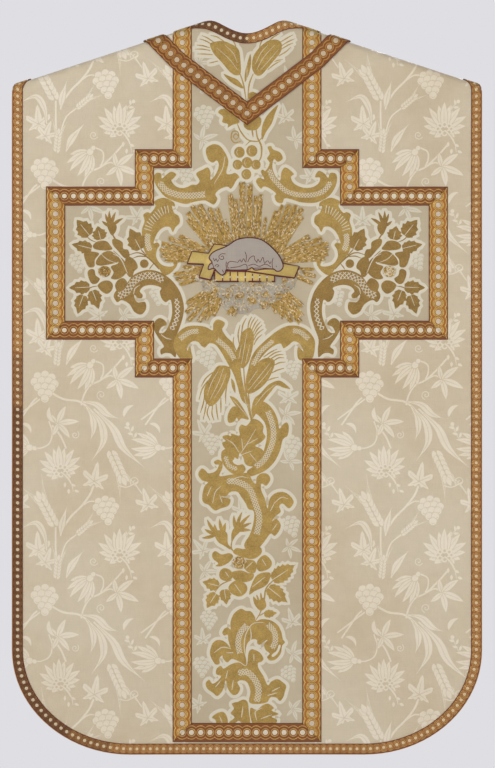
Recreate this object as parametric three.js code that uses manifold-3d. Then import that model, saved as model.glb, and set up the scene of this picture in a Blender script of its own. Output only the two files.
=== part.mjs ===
// A Latin (fiddleback) chasuble hanging from the shoulders. Millimetres, +Z up, X across the wearer.
// The back of the garment, with its cross, faces -Y and the front panel faces +Y.
// The origin is on the mid-plane between the panels, midway between the two neck points, at their height.
import * as THREE from "three";
import { mergeVertices } from "three/addons/utils/BufferGeometryUtils.js";
import Module from "manifold-3d";

// ---- driving dimensions ----
const backLength = 1065; // neck point to hem
const halfWidth = 341; // back panel, at the side edges
const hemCornerWidth = 171; // the hem corners are quarter ellipses
const hemCornerHeight = 151;
const neckHalfWidth = 63;
const backNeckDrop = 17;
const neckCrossing = 40; // where the back neck edge leaves the flat panel for the shoulder turn
const neckOverhang = 11; // the shoulder turns start this far inside the neck points
const shoulderSlope = THREE.MathUtils.degToRad(18.2);
const shoulderCornerCut = 9; // bevel where the shoulder meets the side edge

const frontShortening = 4; // the front hem hangs this much higher
const frontWaistInset = 79; // drawn in from the back's width, where the arms swing
const frontWaistDrop = 400;
const frontHemInset = 19;
const frontNeckDrop = 168;

const braidWidth = 27.5; // wide figured braid round the orphreys
const edgeBraidWidth = 15; // narrow braid round the edges and the neck
const seamAllowance = 10; // orphrey cloth that lies under the wide braid
const layingGap = 0.3; // air between two cloths that lie together
const shoulderSeamGap = 1.5; // between the shoulder turn and the front panel

const columnHalfWidth = 108; // outer edge of the braid beside the column
const stepHalfWidth = 163;
const armEndInset = 49; // from the arm's braid to the side edge
const upperStepDrop = 185.5; // all drops are below the neck points
const armTopDrop = 240;
const armBottomDrop = 462.5;
const lowerStepDrop = 517.5;
const footGap = 2.5; // between the foot braid and the hem braid

const bandShoulderOverhang = 31; // the neck band reaches this far past the column braid at the shoulder
const bandKneeOverhang = 2; // and steepens here
const frontPointDrop = 252; // outer point of the neck band in front
const bandLowerSlope = THREE.MathUtils.degToRad(37.3);
const bandUpperSlope = THREE.MathUtils.degToRad(45.5);

const liningThickness = 0.6;
const interliningThickness = 1.0;
const clothThickness = 0.6;
const braidThickness = 0.9;
const halfHollow = 9; // from the mid-plane to the lining

const frontLength = backLength - frontShortening;
const frontWaistHalfWidth = halfWidth - frontWaistInset;
const frontHemHalfWidth = halfWidth - frontHemInset;
const armHalfWidth = halfWidth - armEndInset;

// ---- layers, counted outwards from the mid-plane ----
const liningLayer = { from: halfHollow, thick: liningThickness };
const above = (layer, thick) => ({ from: layer.from + layer.thick + layingGap, thick });
const interliningLayer = above(liningLayer, interliningThickness);
const clothLayer = above(interliningLayer, clothThickness);
const braidLayer = above(clothLayer, braidThickness);
const vBandLayer = above(braidLayer, braidThickness);

const foldRadius = clothLayer.from + clothLayer.thick;
const tangentDrop = foldRadius / Math.cos(shoulderSlope); // shoulder line down to where the panels start
const farAbove = 60; // cutters reach this high over the neck points

// Height of the flat panels' top edge at a distance x from the middle.
const panelTop = (x) => -Math.tan(shoulderSlope) * (x - neckHalfWidth) - tangentDrop;

// ---- solids ----
const wasm = await Module();
wasm.setup();

function solidOf(geometry) {
  const bare = geometry.clone().deleteAttribute("normal").deleteAttribute("uv");
  const merged = mergeVertices(bare, 1e-4);
  const vertProperties = merged.attributes.position.array;
  const triVerts = new Uint32Array(merged.index.array);
  return new wasm.Manifold(new wasm.Mesh({ numProp: 3, vertProperties, triVerts }));
}

function geometryOf(solid) {
  const mesh = solid.getMesh();
  const geometry = new THREE.BufferGeometry();
  geometry.setAttribute("position", new THREE.BufferAttribute(mesh.vertProperties, 3));
  geometry.setIndex(new THREE.BufferAttribute(mesh.triVerts, 1));
  geometry.computeVertexNormals();
  return geometry;
}

// A sheet cut to an outline, still lying in its own plane: x across, y up, z through its thickness.
function cutSheet(outline, thick) {
  const options = { depth: thick, bevelEnabled: false, curveSegments: 16 };
  return solidOf(new THREE.ExtrudeGeometry(outline, options));
}

// A cutter that goes right through a sheet.
function cutter(outline, thick) {
  return cutSheet(outline, thick + 2).translate(0, 0, -1);
}

const shapeOf = (points) => new THREE.Shape(points.map(([x, z]) => new THREE.Vector2(x, z)));
const mirrored = (points) => points.map(([x, z]) => [-x, z]).reverse();
const bothSides = (rightSide) => shapeOf([...rightSide, ...mirrored(rightSide)]);

// ---- outlines, drawn as x and height ----

// Half the back neck edge, from the shoulder turn to the middle.
function backNeckEdge(lower = 0) {
  const steps = 8;
  const points = [];
  for (let i = 0; i <= steps; i++) {
    const x = neckHalfWidth * (1 - i / steps);
    const dip = (1 + Math.cos((Math.PI * x) / neckHalfWidth)) / 2;
    points.push([x, -backNeckDrop * dip - lower]);
  }
  return points;
}

// The back panel, with its sides and hem drawn in by inset. Its top is left high, and cut later.
function backOutline(inset = 0) {
  const side = halfWidth - inset;
  const hem = -backLength + inset;
  const outline = new THREE.Shape();
  outline.moveTo(0, farAbove);
  outline.lineTo(-side, farAbove);
  outline.lineTo(-side, -backLength + hemCornerHeight);
  const centreX = halfWidth - hemCornerWidth;
  const centreZ = -backLength + hemCornerHeight;
  const [rx, rz] = [hemCornerWidth - inset, hemCornerHeight - inset];
  outline.absellipse(-centreX, centreZ, rx, rz, Math.PI, 1.5 * Math.PI);
  outline.lineTo(centreX, hem);
  outline.absellipse(centreX, centreZ, rx, rz, 1.5 * Math.PI, 2 * Math.PI);
  outline.lineTo(side, farAbove);
  outline.closePath();
  return outline;
}

// The front panel is drawn in at the arms and widens again to the hem.
function frontOutline(inset = 0) {
  const side = halfWidth - inset;
  const waist = frontWaistHalfWidth - inset;
  const hemSide = frontHemHalfWidth - inset;
  const hem = -frontLength + inset;
  const cornerTop = -frontLength + hemCornerHeight;
  const tip = panelTop(halfWidth) - 12;
  const outline = new THREE.Shape();
  outline.moveTo(0, farAbove);
  outline.lineTo(-side, farAbove);
  outline.lineTo(-side, tip);
  outline.bezierCurveTo(-side + 20, tip - 90, -waist, -frontWaistDrop + 110, -waist, -frontWaistDrop);
  outline.bezierCurveTo(-waist, -frontWaistDrop - 150, -hemSide, cornerTop + 170, -hemSide, cornerTop);
  const centreX = frontHemHalfWidth - hemCornerWidth;
  const [rx, rz] = [hemCornerWidth - inset, hemCornerHeight - inset];
  outline.absellipse(-centreX, cornerTop, rx, rz, Math.PI, 1.5 * Math.PI);
  outline.lineTo(centreX, hem);
  outline.absellipse(centreX, cornerTop, rx, rz, 1.5 * Math.PI, 2 * Math.PI);
  outline.bezierCurveTo(hemSide, cornerTop + 170, waist, -frontWaistDrop - 150, waist, -frontWaistDrop);
  outline.bezierCurveTo(waist, -frontWaistDrop + 110, side - 20, tip - 90, side, tip);
  outline.lineTo(side, farAbove);
  outline.closePath();
  return outline;
}

// What the shoulders and the back neck cut away from the top of a panel.
function aboveBackShoulders(lower) {
  const beyond = halfWidth + 20;
  const cornerX = halfWidth - shoulderCornerCut;
  const side = [
    [beyond, farAbove + 1],
    [beyond, panelTop(halfWidth) - 2 * shoulderCornerCut],
    [cornerX, panelTop(cornerX) - lower],
    [neckCrossing, panelTop(neckCrossing) - lower],
    ...backNeckEdge().filter(([x]) => x < neckCrossing),
  ];
  return bothSides(side);
}

function aboveFrontShoulders(lower, neckGrow = 0) {
  const beyond = halfWidth + 20;
  const cornerX = halfWidth - shoulderCornerCut;
  const neckSide = neckHalfWidth - 3 + neckGrow;
  const neckFoot = -frontNeckDrop - neckGrow;
  const neckBend = -0.57 * frontNeckDrop - neckGrow;
  const neckRound = 34 + 0.6 * neckGrow;
  const top = new THREE.Shape();
  top.moveTo(beyond, farAbove + 1);
  top.lineTo(-beyond, farAbove + 1);
  top.lineTo(-beyond, panelTop(halfWidth) - 2 * shoulderCornerCut);
  top.lineTo(-cornerX, panelTop(cornerX) - lower);
  top.lineTo(-neckSide, panelTop(neckSide) - lower);
  top.bezierCurveTo(-neckSide + 2, neckBend, -neckRound, neckFoot, 0, neckFoot);
  top.bezierCurveTo(neckRound, neckFoot, neckSide - 2, neckBend, neckSide, panelTop(neckSide) - lower);
  top.lineTo(cornerX, panelTop(cornerX) - lower);
  top.lineTo(beyond, panelTop(halfWidth) - 2 * shoulderCornerCut);
  top.closePath();
  return top;
}

// The stepped cross of the back, drawn in by inset from the outer edge of its braid.
function crossOutline(inset, footDrop) {
  const column = columnHalfWidth - inset;
  const step = stepHalfWidth - inset;
  const arm = armHalfWidth - inset;
  return bothSides([
    [column, farAbove],
    [column, -upperStepDrop - inset],
    [step, -upperStepDrop - inset],
    [step, -armTopDrop - inset],
    [arm, -armTopDrop - inset],
    [arm, -armBottomDrop + inset],
    [step, -armBottomDrop + inset],
    [step, -lowerStepDrop + inset],
    [column, -lowerStepDrop + inset],
    [column, -footDrop],
  ].reverse());
}

function columnOutline(inset, footDrop) {
  const column = columnHalfWidth - inset;
  return shapeOf([
    [-column, -footDrop],
    [column, -footDrop],
    [column, farAbove],
    [-column, farAbove],
  ]);
}

// The foot of a column braid, mitred into its two uprights. It reaches past the braid both ways.
function footOutline(footDrop) {
  const [low, high] = [columnHalfWidth + 1, columnHalfWidth - braidWidth - 1];
  return shapeOf([
    [-low, -footDrop - 1],
    [low, -footDrop - 1],
    [high, -footDrop + braidWidth + 1],
    [-high, -footDrop + braidWidth + 1],
  ]);
}

const rightHalf = shapeOf([[layingGap / 2, -2000], [600, -2000], [600, 200], [layingGap / 2, 200]]);
const leftHalf = shapeOf([[-600, -2000], [-layingGap / 2, -2000], [-layingGap / 2, 200], [-600, 200]]);

// ---- the scene ----
const chasuble = new THREE.Group();
const backPanel = new THREE.Group();
const frontPanel = new THREE.Group();
const shoulders = new THREE.Group();
chasuble.add(backPanel, frontPanel, shoulders);

function finish(color, roughness, metalness = 0) {
  return new THREE.MeshStandardMaterial({ color, roughness, metalness });
}
const damask = finish(0xd6cab0, 0.55);
const brocade = finish(0xcfc4a6, 0.5);
const liningSilk = finish(0xb9772b, 0.6);
const canvas = finish(0xc9bfa5, 0.9);
const braidGold = finish(0xb07a2c, 0.45, 0.4);
const goldWork = finish(0xc39a48, 0.4, 0.6);
const goldCloth = finish(0xd2b65c, 0.45, 0.4);
const silverWork = finish(0xb9b1a6, 0.5, 0.4);

// A flat sheet joins a panel: its own plane stands upright, as far from the mid-plane as its layer says.
function hang(panel, name, solid, layer, material) {
  const mesh = new THREE.Mesh(geometryOf(solid), material);
  mesh.name = name;
  mesh.rotation.x = Math.PI / 2;
  mesh.position.y = panel === backPanel ? -layer.from : layer.from + layer.thick;
  panel.add(mesh);
}

const backTop = (layer, lower = layingGap) => cutter(aboveBackShoulders(lower), layer.thick);
const backSheet = (layer, inset = 0) => cutSheet(backOutline(inset), layer.thick).subtract(backTop(layer));
const frontTop = (layer) => cutter(aboveFrontShoulders(shoulderSeamGap), layer.thick);
const frontSheet = (layer, inset = 0) => cutSheet(frontOutline(inset), layer.thick).subtract(frontTop(layer));

// ---- back panel ----
const backFoot = backLength - edgeBraidWidth - footGap;
const orphreyInset = braidWidth - seamAllowance;

hang(backPanel, "back_lining", backSheet(liningLayer), liningLayer, liningSilk);
hang(backPanel, "back_interlining", backSheet(interliningLayer), interliningLayer, canvas);

const backCloth = backSheet(clothLayer);
const thickness = clothLayer.thick;
const backOrphrey = backCloth.intersect(cutter(crossOutline(orphreyInset, backLength + 20), thickness));
const fieldInset = orphreyInset - layingGap;
const backFields = backCloth.subtract(cutter(crossOutline(fieldInset, backLength + 30), thickness));
hang(backPanel, "back_cross_orphrey", backOrphrey, clothLayer, brocade);
hang(backPanel, "back_left_field", backFields.intersect(cutter(leftHalf, thickness)), clothLayer, damask);
hang(backPanel, "back_right_field", backFields.intersect(cutter(rightHalf, thickness)), clothLayer, damask);

const braidThick = braidLayer.thick;
const backEdge = backSheet(braidLayer).subtract(cutter(backOutline(edgeBraidWidth), braidThick));
hang(backPanel, "back_edge_braid", backEdge, braidLayer, braidGold);

const neckStrip = [...backNeckEdge().filter(([x]) => x < neckCrossing).reverse()];
const neckStripLower = backNeckEdge(edgeBraidWidth).filter(([x]) => x < neckCrossing + 10);
const backNeck = cutSheet(bothSides([...neckStripLower.reverse(), ...neckStrip.reverse()]), braidThick)
  .subtract(backTop(braidLayer));
hang(backPanel, "back_neck_braid", backNeck, braidLayer, braidGold);

// The wide braid round an orphrey: two uprights and a mitred foot.
function layWideBraid(panel, prefix, outer, inner, top, footDrop) {
  const frame = cutSheet(outer, braidThick).subtract(cutter(inner, braidThick)).subtract(top);
  const foot = frame.intersect(cutter(footOutline(footDrop), braidThick));
  const footCutter = cutter(footOutline(footDrop), braidThick).translate(0, layingGap, 0);
  const uprights = frame.subtract(footCutter);
  hang(panel, `${prefix}_foot`, foot, braidLayer, braidGold);
  hang(panel, `${prefix}_left`, uprights.intersect(cutter(leftHalf, braidThick)), braidLayer, braidGold);
  hang(panel, `${prefix}_right`, uprights.intersect(cutter(rightHalf, braidThick)), braidLayer, braidGold);
}
layWideBraid(
  backPanel,
  "back_cross_braid",
  crossOutline(0, backFoot),
  crossOutline(braidWidth, backFoot - braidWidth),
  backTop(braidLayer),
  backFoot,
);

// A band of wide braid that runs from both shoulders to a point below the neck. Its edges bend a little
// at a knee, so its outer edge is two straight lines: one up from the point and one up from the knee.
const bandShoulderX = columnHalfWidth + bandShoulderOverhang;
const bandKneeX = columnHalfWidth + bandKneeOverhang;

function vBand(lowerSlope, upperSlope) {
  const [low, high] = [Math.tan(lowerSlope), Math.tan(upperSlope)];
  const kneeZ = panelTop(bandShoulderX) - high * (bandShoulderX - bandKneeX);
  const pointZ = kneeZ - low * bandKneeX;
  const [lowWidth, highWidth] = [braidWidth / Math.cos(lowerSlope), braidWidth / Math.cos(upperSlope)];
  const innerKneeX = low === high ? bandKneeX : bandKneeX + (lowWidth - highWidth) / (high - low);
  const innerKneeZ = pointZ + lowWidth + innerKneeX * low;
  const topX = bandKneeX + (farAbove - kneeZ) / high;
  const innerTopX = innerKneeX + (farAbove - innerKneeZ) / high;
  const outline = [
    [0, pointZ], [bandKneeX, kneeZ], [topX, farAbove],
    [innerTopX, farAbove], [innerKneeX, innerKneeZ], [0, pointZ + lowWidth],
  ];
  return shapeOf([...outline, ...mirrored(outline.slice(1, -1))]);
}
const bandShape = vBand(bandLowerSlope, bandUpperSlope);
const backBand = cutSheet(bandShape, vBandLayer.thick).subtract(backTop(vBandLayer));
hang(backPanel, "back_v_band", backBand, vBandLayer, braidGold);

// ---- the embroidered emblem, centred on the cross ----
const armMiddle = (armTopDrop + armBottomDrop) / 2;
const emblemDrop = armMiddle - 12;
const inEmblem = (points) => points.map(([x, z]) => [x, z - emblemDrop]);
const polar = (angleDeg, radius) => {
  const angle = THREE.MathUtils.degToRad(angleDeg);
  return [radius * Math.cos(angle), radius * Math.sin(angle)];
};
const workThickness = 0.6;
const rayLayer = above(clothLayer, workThickness);
const cloudLayer = above(rayLayer, workThickness);
const bookLayer = above(cloudLayer, workThickness);
const crossLayer = above(bookLayer, workThickness);
const lambLayer = above(crossLayer, 1.5);

// Each bundle of rays is a fan between two angles; its tips step out and back.
const rayBundles = {
  top: { from: 78, to: 102, tips: [88, 101, 101, 88], root: 44 },
  upper_left: { from: 122, to: 143, tips: [78, 96, 108, 104], root: 46 },
  upper_right: { from: 37, to: 58, tips: [104, 106, 94, 80], root: 46 },
  left: { from: 160, to: 184, tips: [98, 114, 120, 122], root: 60 },
  right: { from: -4, to: 20, tips: [119, 114, 108, 96], root: 60 },
  lower_left: { from: 193, to: 205, tips: [100, 108, 110, 108], root: 72 },
  lower_right: { from: -26, to: -13, tips: [102, 102, 100, 96], root: 74 },
  foot_left: { from: 216, to: 238, tips: [108, 118, 130, 116], root: 66 },
  foot_right: { from: -59, to: -37, tips: [112, 126, 114, 104], root: 66 },
};
for (const [place, { from, to, tips, root }] of Object.entries(rayBundles)) {
  const outer = tips.map((tip, i) => polar(from + ((to - from) * i) / (tips.length - 1), tip));
  const fan = shapeOf(inEmblem([polar(from, root), ...outer, polar(to, root)]));
  hang(backPanel, `rays_${place}`, cutSheet(fan, rayLayer.thick), rayLayer, goldWork);
}

// Clouds: rounded swags under the book.
const clouds = new THREE.Shape();
clouds.moveTo(-80, -34 - emblemDrop);
clouds.quadraticCurveTo(-84, -48 - emblemDrop, -66, -52 - emblemDrop);
clouds.quadraticCurveTo(-46, -76 - emblemDrop, -34, -66 - emblemDrop);
clouds.quadraticCurveTo(-24, -96 - emblemDrop, 0, -80 - emblemDrop);
clouds.quadraticCurveTo(24, -90 - emblemDrop, 34, -66 - emblemDrop);
clouds.quadraticCurveTo(56, -68 - emblemDrop, 66, -50 - emblemDrop);
clouds.quadraticCurveTo(82, -44 - emblemDrop, 78, -24 - emblemDrop);
clouds.closePath();
hang(backPanel, "emblem_clouds", cutSheet(clouds, cloudLayer.thick), cloudLayer, silverWork);

const book = shapeOf(inEmblem([[-48, -39], [41, -39], [41, -24], [-48, -24]]));
hang(backPanel, "emblem_book", cutSheet(book, bookLayer.thick), bookLayer, goldCloth);

// A cross lying on the book, its long arm running down to the right.
const lyingCross = shapeOf(inEmblem([
  [-86, -14], [-63, -15.5], [-70, -33], [-53, -37.5], [-46, -22], [70, -34.5],
  [74.5, -18.5], [-29, -4], [-31, 12.5], [-47, 15], [-55, 2], [-78, 4.5],
]));
hang(backPanel, "emblem_cross", cutSheet(lyingCross, crossLayer.thick), crossLayer, goldCloth);

// The lamb lies with its head lowered to the left.
const lamb = new THREE.Shape();
lamb.moveTo(-55, -6 - emblemDrop);
lamb.quadraticCurveTo(-50, 6 - emblemDrop, -31, 10.5 - emblemDrop);
lamb.quadraticCurveTo(4, 40 - emblemDrop, 36, 12 - emblemDrop);
lamb.quadraticCurveTo(48, 0 - emblemDrop, 51, -14 - emblemDrop);
lamb.quadraticCurveTo(50, -24 - emblemDrop, 40, -22 - emblemDrop);
lamb.lineTo(10, -22 - emblemDrop);
lamb.lineTo(-28, -22 - emblemDrop);
lamb.quadraticCurveTo(-36, -30 - emblemDrop, -45, -21 - emblemDrop);
lamb.quadraticCurveTo(-57, -20 - emblemDrop, -55, -6 - emblemDrop);
hang(backPanel, "emblem_lamb", cutSheet(lamb, lambLayer.thick), lambLayer, silverWork);

// Embroidered hearts of three woven roses: one in each arm, one low on the column.
const armRoseX = armHalfWidth - 85;
const armRoseDrop = armMiddle + 12;
const columnRoseDrop = (lowerStepDrop + backFoot) / 2 + 4;
const roseHearts = {
  left: [-armRoseX, armRoseDrop],
  right: [armRoseX, armRoseDrop],
  column: [-11, columnRoseDrop],
};
for (const [place, [x, drop]] of Object.entries(roseHearts)) {
  const heart = new THREE.Shape();
  heart.absellipse(x, -drop, 9, 8, 0, 2 * Math.PI);
  hang(backPanel, `rose_heart_${place}`, cutSheet(heart, rayLayer.thick), rayLayer, goldWork);
}

// ---- front panel ----
const frontFoot = frontLength - edgeBraidWidth - footGap;
hang(frontPanel, "front_lining", frontSheet(liningLayer), liningLayer, liningSilk);
hang(frontPanel, "front_interlining", frontSheet(interliningLayer), interliningLayer, canvas);

const frontCloth = frontSheet(clothLayer);
const frontOrphrey = frontCloth.intersect(cutter(columnOutline(orphreyInset, frontLength + 20), thickness));
const frontFields = frontCloth.subtract(cutter(columnOutline(fieldInset, frontLength + 30), thickness));
hang(frontPanel, "front_column_orphrey", frontOrphrey, clothLayer, brocade);
const [leftCutter, rightCutter] = [cutter(leftHalf, thickness), cutter(rightHalf, thickness)];
hang(frontPanel, "front_left_field", frontFields.intersect(leftCutter), clothLayer, damask);
hang(frontPanel, "front_right_field", frontFields.intersect(rightCutter), clothLayer, damask);

const lowPart = shapeOf([[-600, -2000], [600, -2000], [600, -80], [-600, -80]]);
const frontEdge = frontSheet(braidLayer).subtract(cutter(frontOutline(edgeBraidWidth), braidThick));
hang(frontPanel, "front_edge_braid", frontEdge.intersect(cutter(lowPart, braidThick)), braidLayer, braidGold);

const neckArea = shapeOf([
  [-columnHalfWidth + braidWidth + layingGap, -frontNeckDrop - 30],
  [columnHalfWidth - braidWidth - layingGap, -frontNeckDrop - 30],
  [columnHalfWidth - braidWidth - layingGap, farAbove],
  [-columnHalfWidth + braidWidth + layingGap, farAbove],
]);
const frontNeck = frontSheet(braidLayer)
  .intersect(cutter(aboveFrontShoulders(shoulderSeamGap, edgeBraidWidth), braidThick))
  .intersect(cutter(neckArea, braidThick));
hang(frontPanel, "front_neck_braid", frontNeck, braidLayer, braidGold);

layWideBraid(
  frontPanel,
  "front_column_braid",
  columnOutline(0, frontFoot),
  columnOutline(braidWidth, frontFoot - braidWidth),
  frontTop(braidLayer),
  frontFoot,
);
// In front the band is straight, and meets the back band on the shoulder.
const frontSlope = Math.atan2(frontPointDrop + panelTop(bandShoulderX), bandShoulderX);
const frontBand = cutSheet(vBand(frontSlope, frontSlope), vBandLayer.thick).subtract(frontTop(vBandLayer));
hang(frontPanel, "front_v_band", frontBand, vBandLayer, braidGold);

// ---- shoulder turns: the cloths and braids that bend over each shoulder ----
function turnGeometry(layer, length) {
  const [inner, outer] = [layer.from, layer.from + layer.thick];
  const section = new THREE.Shape();
  section.absarc(0, 0, outer, 0, Math.PI, false);
  section.absarc(0, 0, inner, Math.PI, 0, true);
  section.closePath();
  return new THREE.ExtrudeGeometry(section, { depth: length, bevelEnabled: false, curveSegments: 14 });
}

// A turn of one layer between two distances from the middle, on the left (-1) or the right (+1).
function turn(name, sideSign, layer, fromX, toX, material) {
  const along = new THREE.Vector3(sideSign * Math.cos(shoulderSlope), 0, -Math.sin(shoulderSlope));
  const up = new THREE.Vector3(sideSign * Math.sin(shoulderSlope), 0, Math.cos(shoulderSlope));
  const across = new THREE.Vector3().crossVectors(up, along);
  const basis = new THREE.Matrix4().makeBasis(across, up, along);
  const length = (toX - fromX) / Math.cos(shoulderSlope);
  const mesh = new THREE.Mesh(turnGeometry(layer, length), material);
  mesh.name = name;
  mesh.quaternion.setFromRotationMatrix(basis);
  mesh.position.set(sideSign * fromX, 0, panelTop(fromX));
  shoulders.add(mesh);
}

const turnStart = neckHalfWidth - neckOverhang;
const turnEnd = halfWidth - 4;
const neckBraidEnd = turnStart + edgeBraidWidth;
const seamX = columnHalfWidth - orphreyInset;
const columnBraidStart = Math.max(columnHalfWidth - braidWidth, neckBraidEnd + layingGap);
const bandAcrossShoulder = braidWidth / Math.sin(bandUpperSlope + shoulderSlope);
const bandTurnStart = bandShoulderX - bandAcrossShoulder * Math.cos(shoulderSlope);
for (const [side, sign] of [["left", -1], ["right", 1]]) {
  turn(`${side}_shoulder_lining`, sign, liningLayer, turnStart, turnEnd, liningSilk);
  turn(`${side}_shoulder_interlining`, sign, interliningLayer, turnStart, turnEnd, canvas);
  turn(`${side}_shoulder_orphrey`, sign, clothLayer, turnStart, seamX - layingGap, brocade);
  turn(`${side}_shoulder_field`, sign, clothLayer, seamX, turnEnd, damask);
  turn(`${side}_shoulder_neck_braid`, sign, braidLayer, turnStart, neckBraidEnd, braidGold);
  turn(`${side}_shoulder_column_braid`, sign, braidLayer, columnBraidStart, columnHalfWidth, braidGold);
  turn(`${side}_shoulder_v_band`, sign, vBandLayer, bandTurnStart, bandShoulderX, braidGold);
  turn(`${side}_shoulder_edge_braid`, sign, braidLayer, turnEnd - edgeBraidWidth, turnEnd, braidGold);
}

export default chasuble;
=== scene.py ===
import random
from math import atan2, copysign, cos, degrees, dist, exp, pi, radians, sin, tan

import bpy
import numpy as np
from numpy.linalg import norm
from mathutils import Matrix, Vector, geometry


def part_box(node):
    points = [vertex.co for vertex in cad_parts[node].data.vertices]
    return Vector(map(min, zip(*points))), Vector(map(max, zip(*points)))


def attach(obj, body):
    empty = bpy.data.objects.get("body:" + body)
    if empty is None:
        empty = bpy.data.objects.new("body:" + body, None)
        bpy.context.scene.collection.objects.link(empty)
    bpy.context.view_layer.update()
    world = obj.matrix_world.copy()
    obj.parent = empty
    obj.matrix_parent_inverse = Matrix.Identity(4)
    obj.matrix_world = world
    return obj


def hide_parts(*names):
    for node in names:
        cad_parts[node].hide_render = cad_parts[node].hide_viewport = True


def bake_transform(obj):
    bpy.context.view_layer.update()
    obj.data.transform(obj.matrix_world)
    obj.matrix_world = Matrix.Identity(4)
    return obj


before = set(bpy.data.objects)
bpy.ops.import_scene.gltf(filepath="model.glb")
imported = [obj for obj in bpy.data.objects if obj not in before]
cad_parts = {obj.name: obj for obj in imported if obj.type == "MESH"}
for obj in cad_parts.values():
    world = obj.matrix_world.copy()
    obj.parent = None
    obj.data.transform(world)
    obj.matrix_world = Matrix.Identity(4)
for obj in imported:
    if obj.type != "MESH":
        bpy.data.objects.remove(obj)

scene = bpy.context.scene
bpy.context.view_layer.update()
dice = random.Random(7)

# A fiddleback chasuble hung from its shoulders. Flat work is drawn in mm as (across, up), and across is the
# frame's X on both panels.


def frameBox(node):
    low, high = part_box(node)
    return [1000 * v for v in low], [1000 * v for v in high]


backLow, backHigh = frameBox("back_lining")
frontLow = frameBox("front_lining")[0]
armHigh = frameBox("back_cross_braid_right")[1]
footLow, footHigh = frameBox("back_cross_braid_foot")
frontFootLow = frameBox("front_column_braid_foot")[0]

# The cut, in mm, read from the frame where it can be.
cut = {
    "halfWidth": backHigh[0],
    "hem": backLow[2],
    "frontHem": frontLow[2],
    "cornerWide": 171,
    "cornerHigh": 151,
    "neckHalf": 66,  # at the shoulder seam
    "neckDip": -17,
    "frontNeckDip": -168,
    "slope": radians(18.2),
    "shoulderAt": -12.42,  # the flat panel ends here under the neck point
    "neckPoint": 63,
    "foldRadius": 11.0,
    "armHalf": armHigh[0],
    "columnHalf": footHigh[0],
    "foot": footLow[2],
    "frontFoot": frontFootLow[2],
    "stepHalf": 163,
    "upperStep": -185.5,
    "armTop": -240,
    "armBottom": -462.5,
    "lowerStep": -517.5,
    "waistInset": 79,
    "waist": -400,
    "frontHemInset": 19,
}
layers = {"cloth": 11.5, "orphrey": 11.6, "braid": 12.0, "collar": 12.05, "band": 13.0, "work": 12.0}
seamUp = cut["foldRadius"] * pi / 2  # cloth from the flat panel to the shoulder seam
slopeSin, slopeCos = sin(cut["slope"]), cos(cut["slope"])


def shoulderLine(x):
    return -tan(cut["slope"]) * (np.abs(x) - cut["neckPoint"]) + cut["shoulderAt"]


def seamLine(x):
    return shoulderLine(x) + seamUp / slopeCos


# Soft folds: where they run, how wide and how proud they are.
pressFolds = {
    "upright": [(-286, 13, 3.4, -130, -960), (-256, 15, -2.6, -200, -900), (-196, 22, 1.4, -420, -1000),
                (212, 24, 1.5, -300, -980), (268, 16, -1.2, -540, -960)],
    "level": [(-541, 3.5, 0.9, -30, 70), (-606, 3.0, 1.1, -80, 26), (-759, 4.0, 0.8, 30, 78),
              (-962, 4.0, 1.0, -86, -10), (-992, 5.0, 0.9, -84, 10), (-118, 4.0, 0.6, -95, -20),
              (-205, 5.0, 0.7, -90, -30), (-880, 6.0, 0.8, 120, 300)],
}


def smooth(t):
    t = np.clip(t, 0, 1)
    return t * t * (3 - 2 * t)


def relief(side, x, z):
    down = shoulderLine(x) - z
    swell = (1.1 * np.sin(x / 71 + z / 420 + 0.7) + 0.9 * np.sin(z / 104 + x / 260 + 1.3 * side)
             + 0.5 * np.sin(x / 37 - z / 150) + 0.35 * np.sin(z / 46 + x / 90 + 2.0))
    if side < 0:
        for x0, wide, high, top, bottom in pressFolds["upright"]:
            run = smooth((top - z) / 90) * smooth((z - bottom) / 90)
            sway = x - x0 - 4 * np.sin(z / 140)
            swell = swell + high * run * np.exp(-(sway / wide) ** 2)
        for z0, wide, high, left, right in pressFolds["level"]:
            run = smooth((x - left) / 22) * smooth((right - x) / 22)
            sag = z - z0 + 0.0007 * (x - left) * (right - x)
            swell = swell + high * run * np.exp(-(sag / wide) ** 2)
    else:
        swell = swell + 1.6 * np.sin(x / 52 + 0.4) * smooth((-z - 300) / 500)
    return swell * smooth((down - 6) / 70)


# From the flat drawing to the hanging garment: down the panel, and round the shoulder fold above it.
def onCloth(side, x, z, lift):
    x, z, lift = (np.asarray(v, float) for v in (x, z, lift))
    over = np.maximum((z - shoulderLine(x)) * slopeCos, 0)
    sign = np.where(x < 0, -1.0, 1.0)
    out = lift + relief(side, x, z)
    turn = over / cut["foldRadius"]
    px = x - over * slopeSin * sign + out * np.sin(turn) * slopeSin * sign
    pz = z - over * slopeCos + out * np.sin(turn) * slopeCos
    py = side * out * np.cos(turn)
    return np.stack([px, py, pz], axis=-1) / 1000


def newPiece(name, points, faces, mats, zones=None, flat=None):
    mesh = bpy.data.meshes.new(name)
    mesh.from_pydata([tuple(p) for p in points], [], faces)
    for material in mats:
        mesh.materials.append(material)
    if zones is not None:
        mesh.polygons.foreach_set("material_index", np.asarray(zones, np.int32))
    mesh.polygons.foreach_set("use_smooth", [True] * len(mesh.polygons))
    if flat is not None:  # the flat drawing, in metres, is the texture space
        loops = np.zeros(len(mesh.loops), np.int32)
        mesh.loops.foreach_get("vertex_index", loops)
        layer = mesh.uv_layers.new(name="cloth")
        layer.data.foreach_set("uv", (np.asarray(flat)[loops] / 1000).astype(np.float32).ravel())
    mesh.update()
    piece = bpy.data.objects.new(name, mesh)
    scene.collection.objects.link(piece)
    return piece


def area(points):
    x, z = points[:, 0], points[:, 1]
    return 0.5 * float(np.sum(x * np.roll(z, -1) - np.roll(x, -1) * z))


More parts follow.
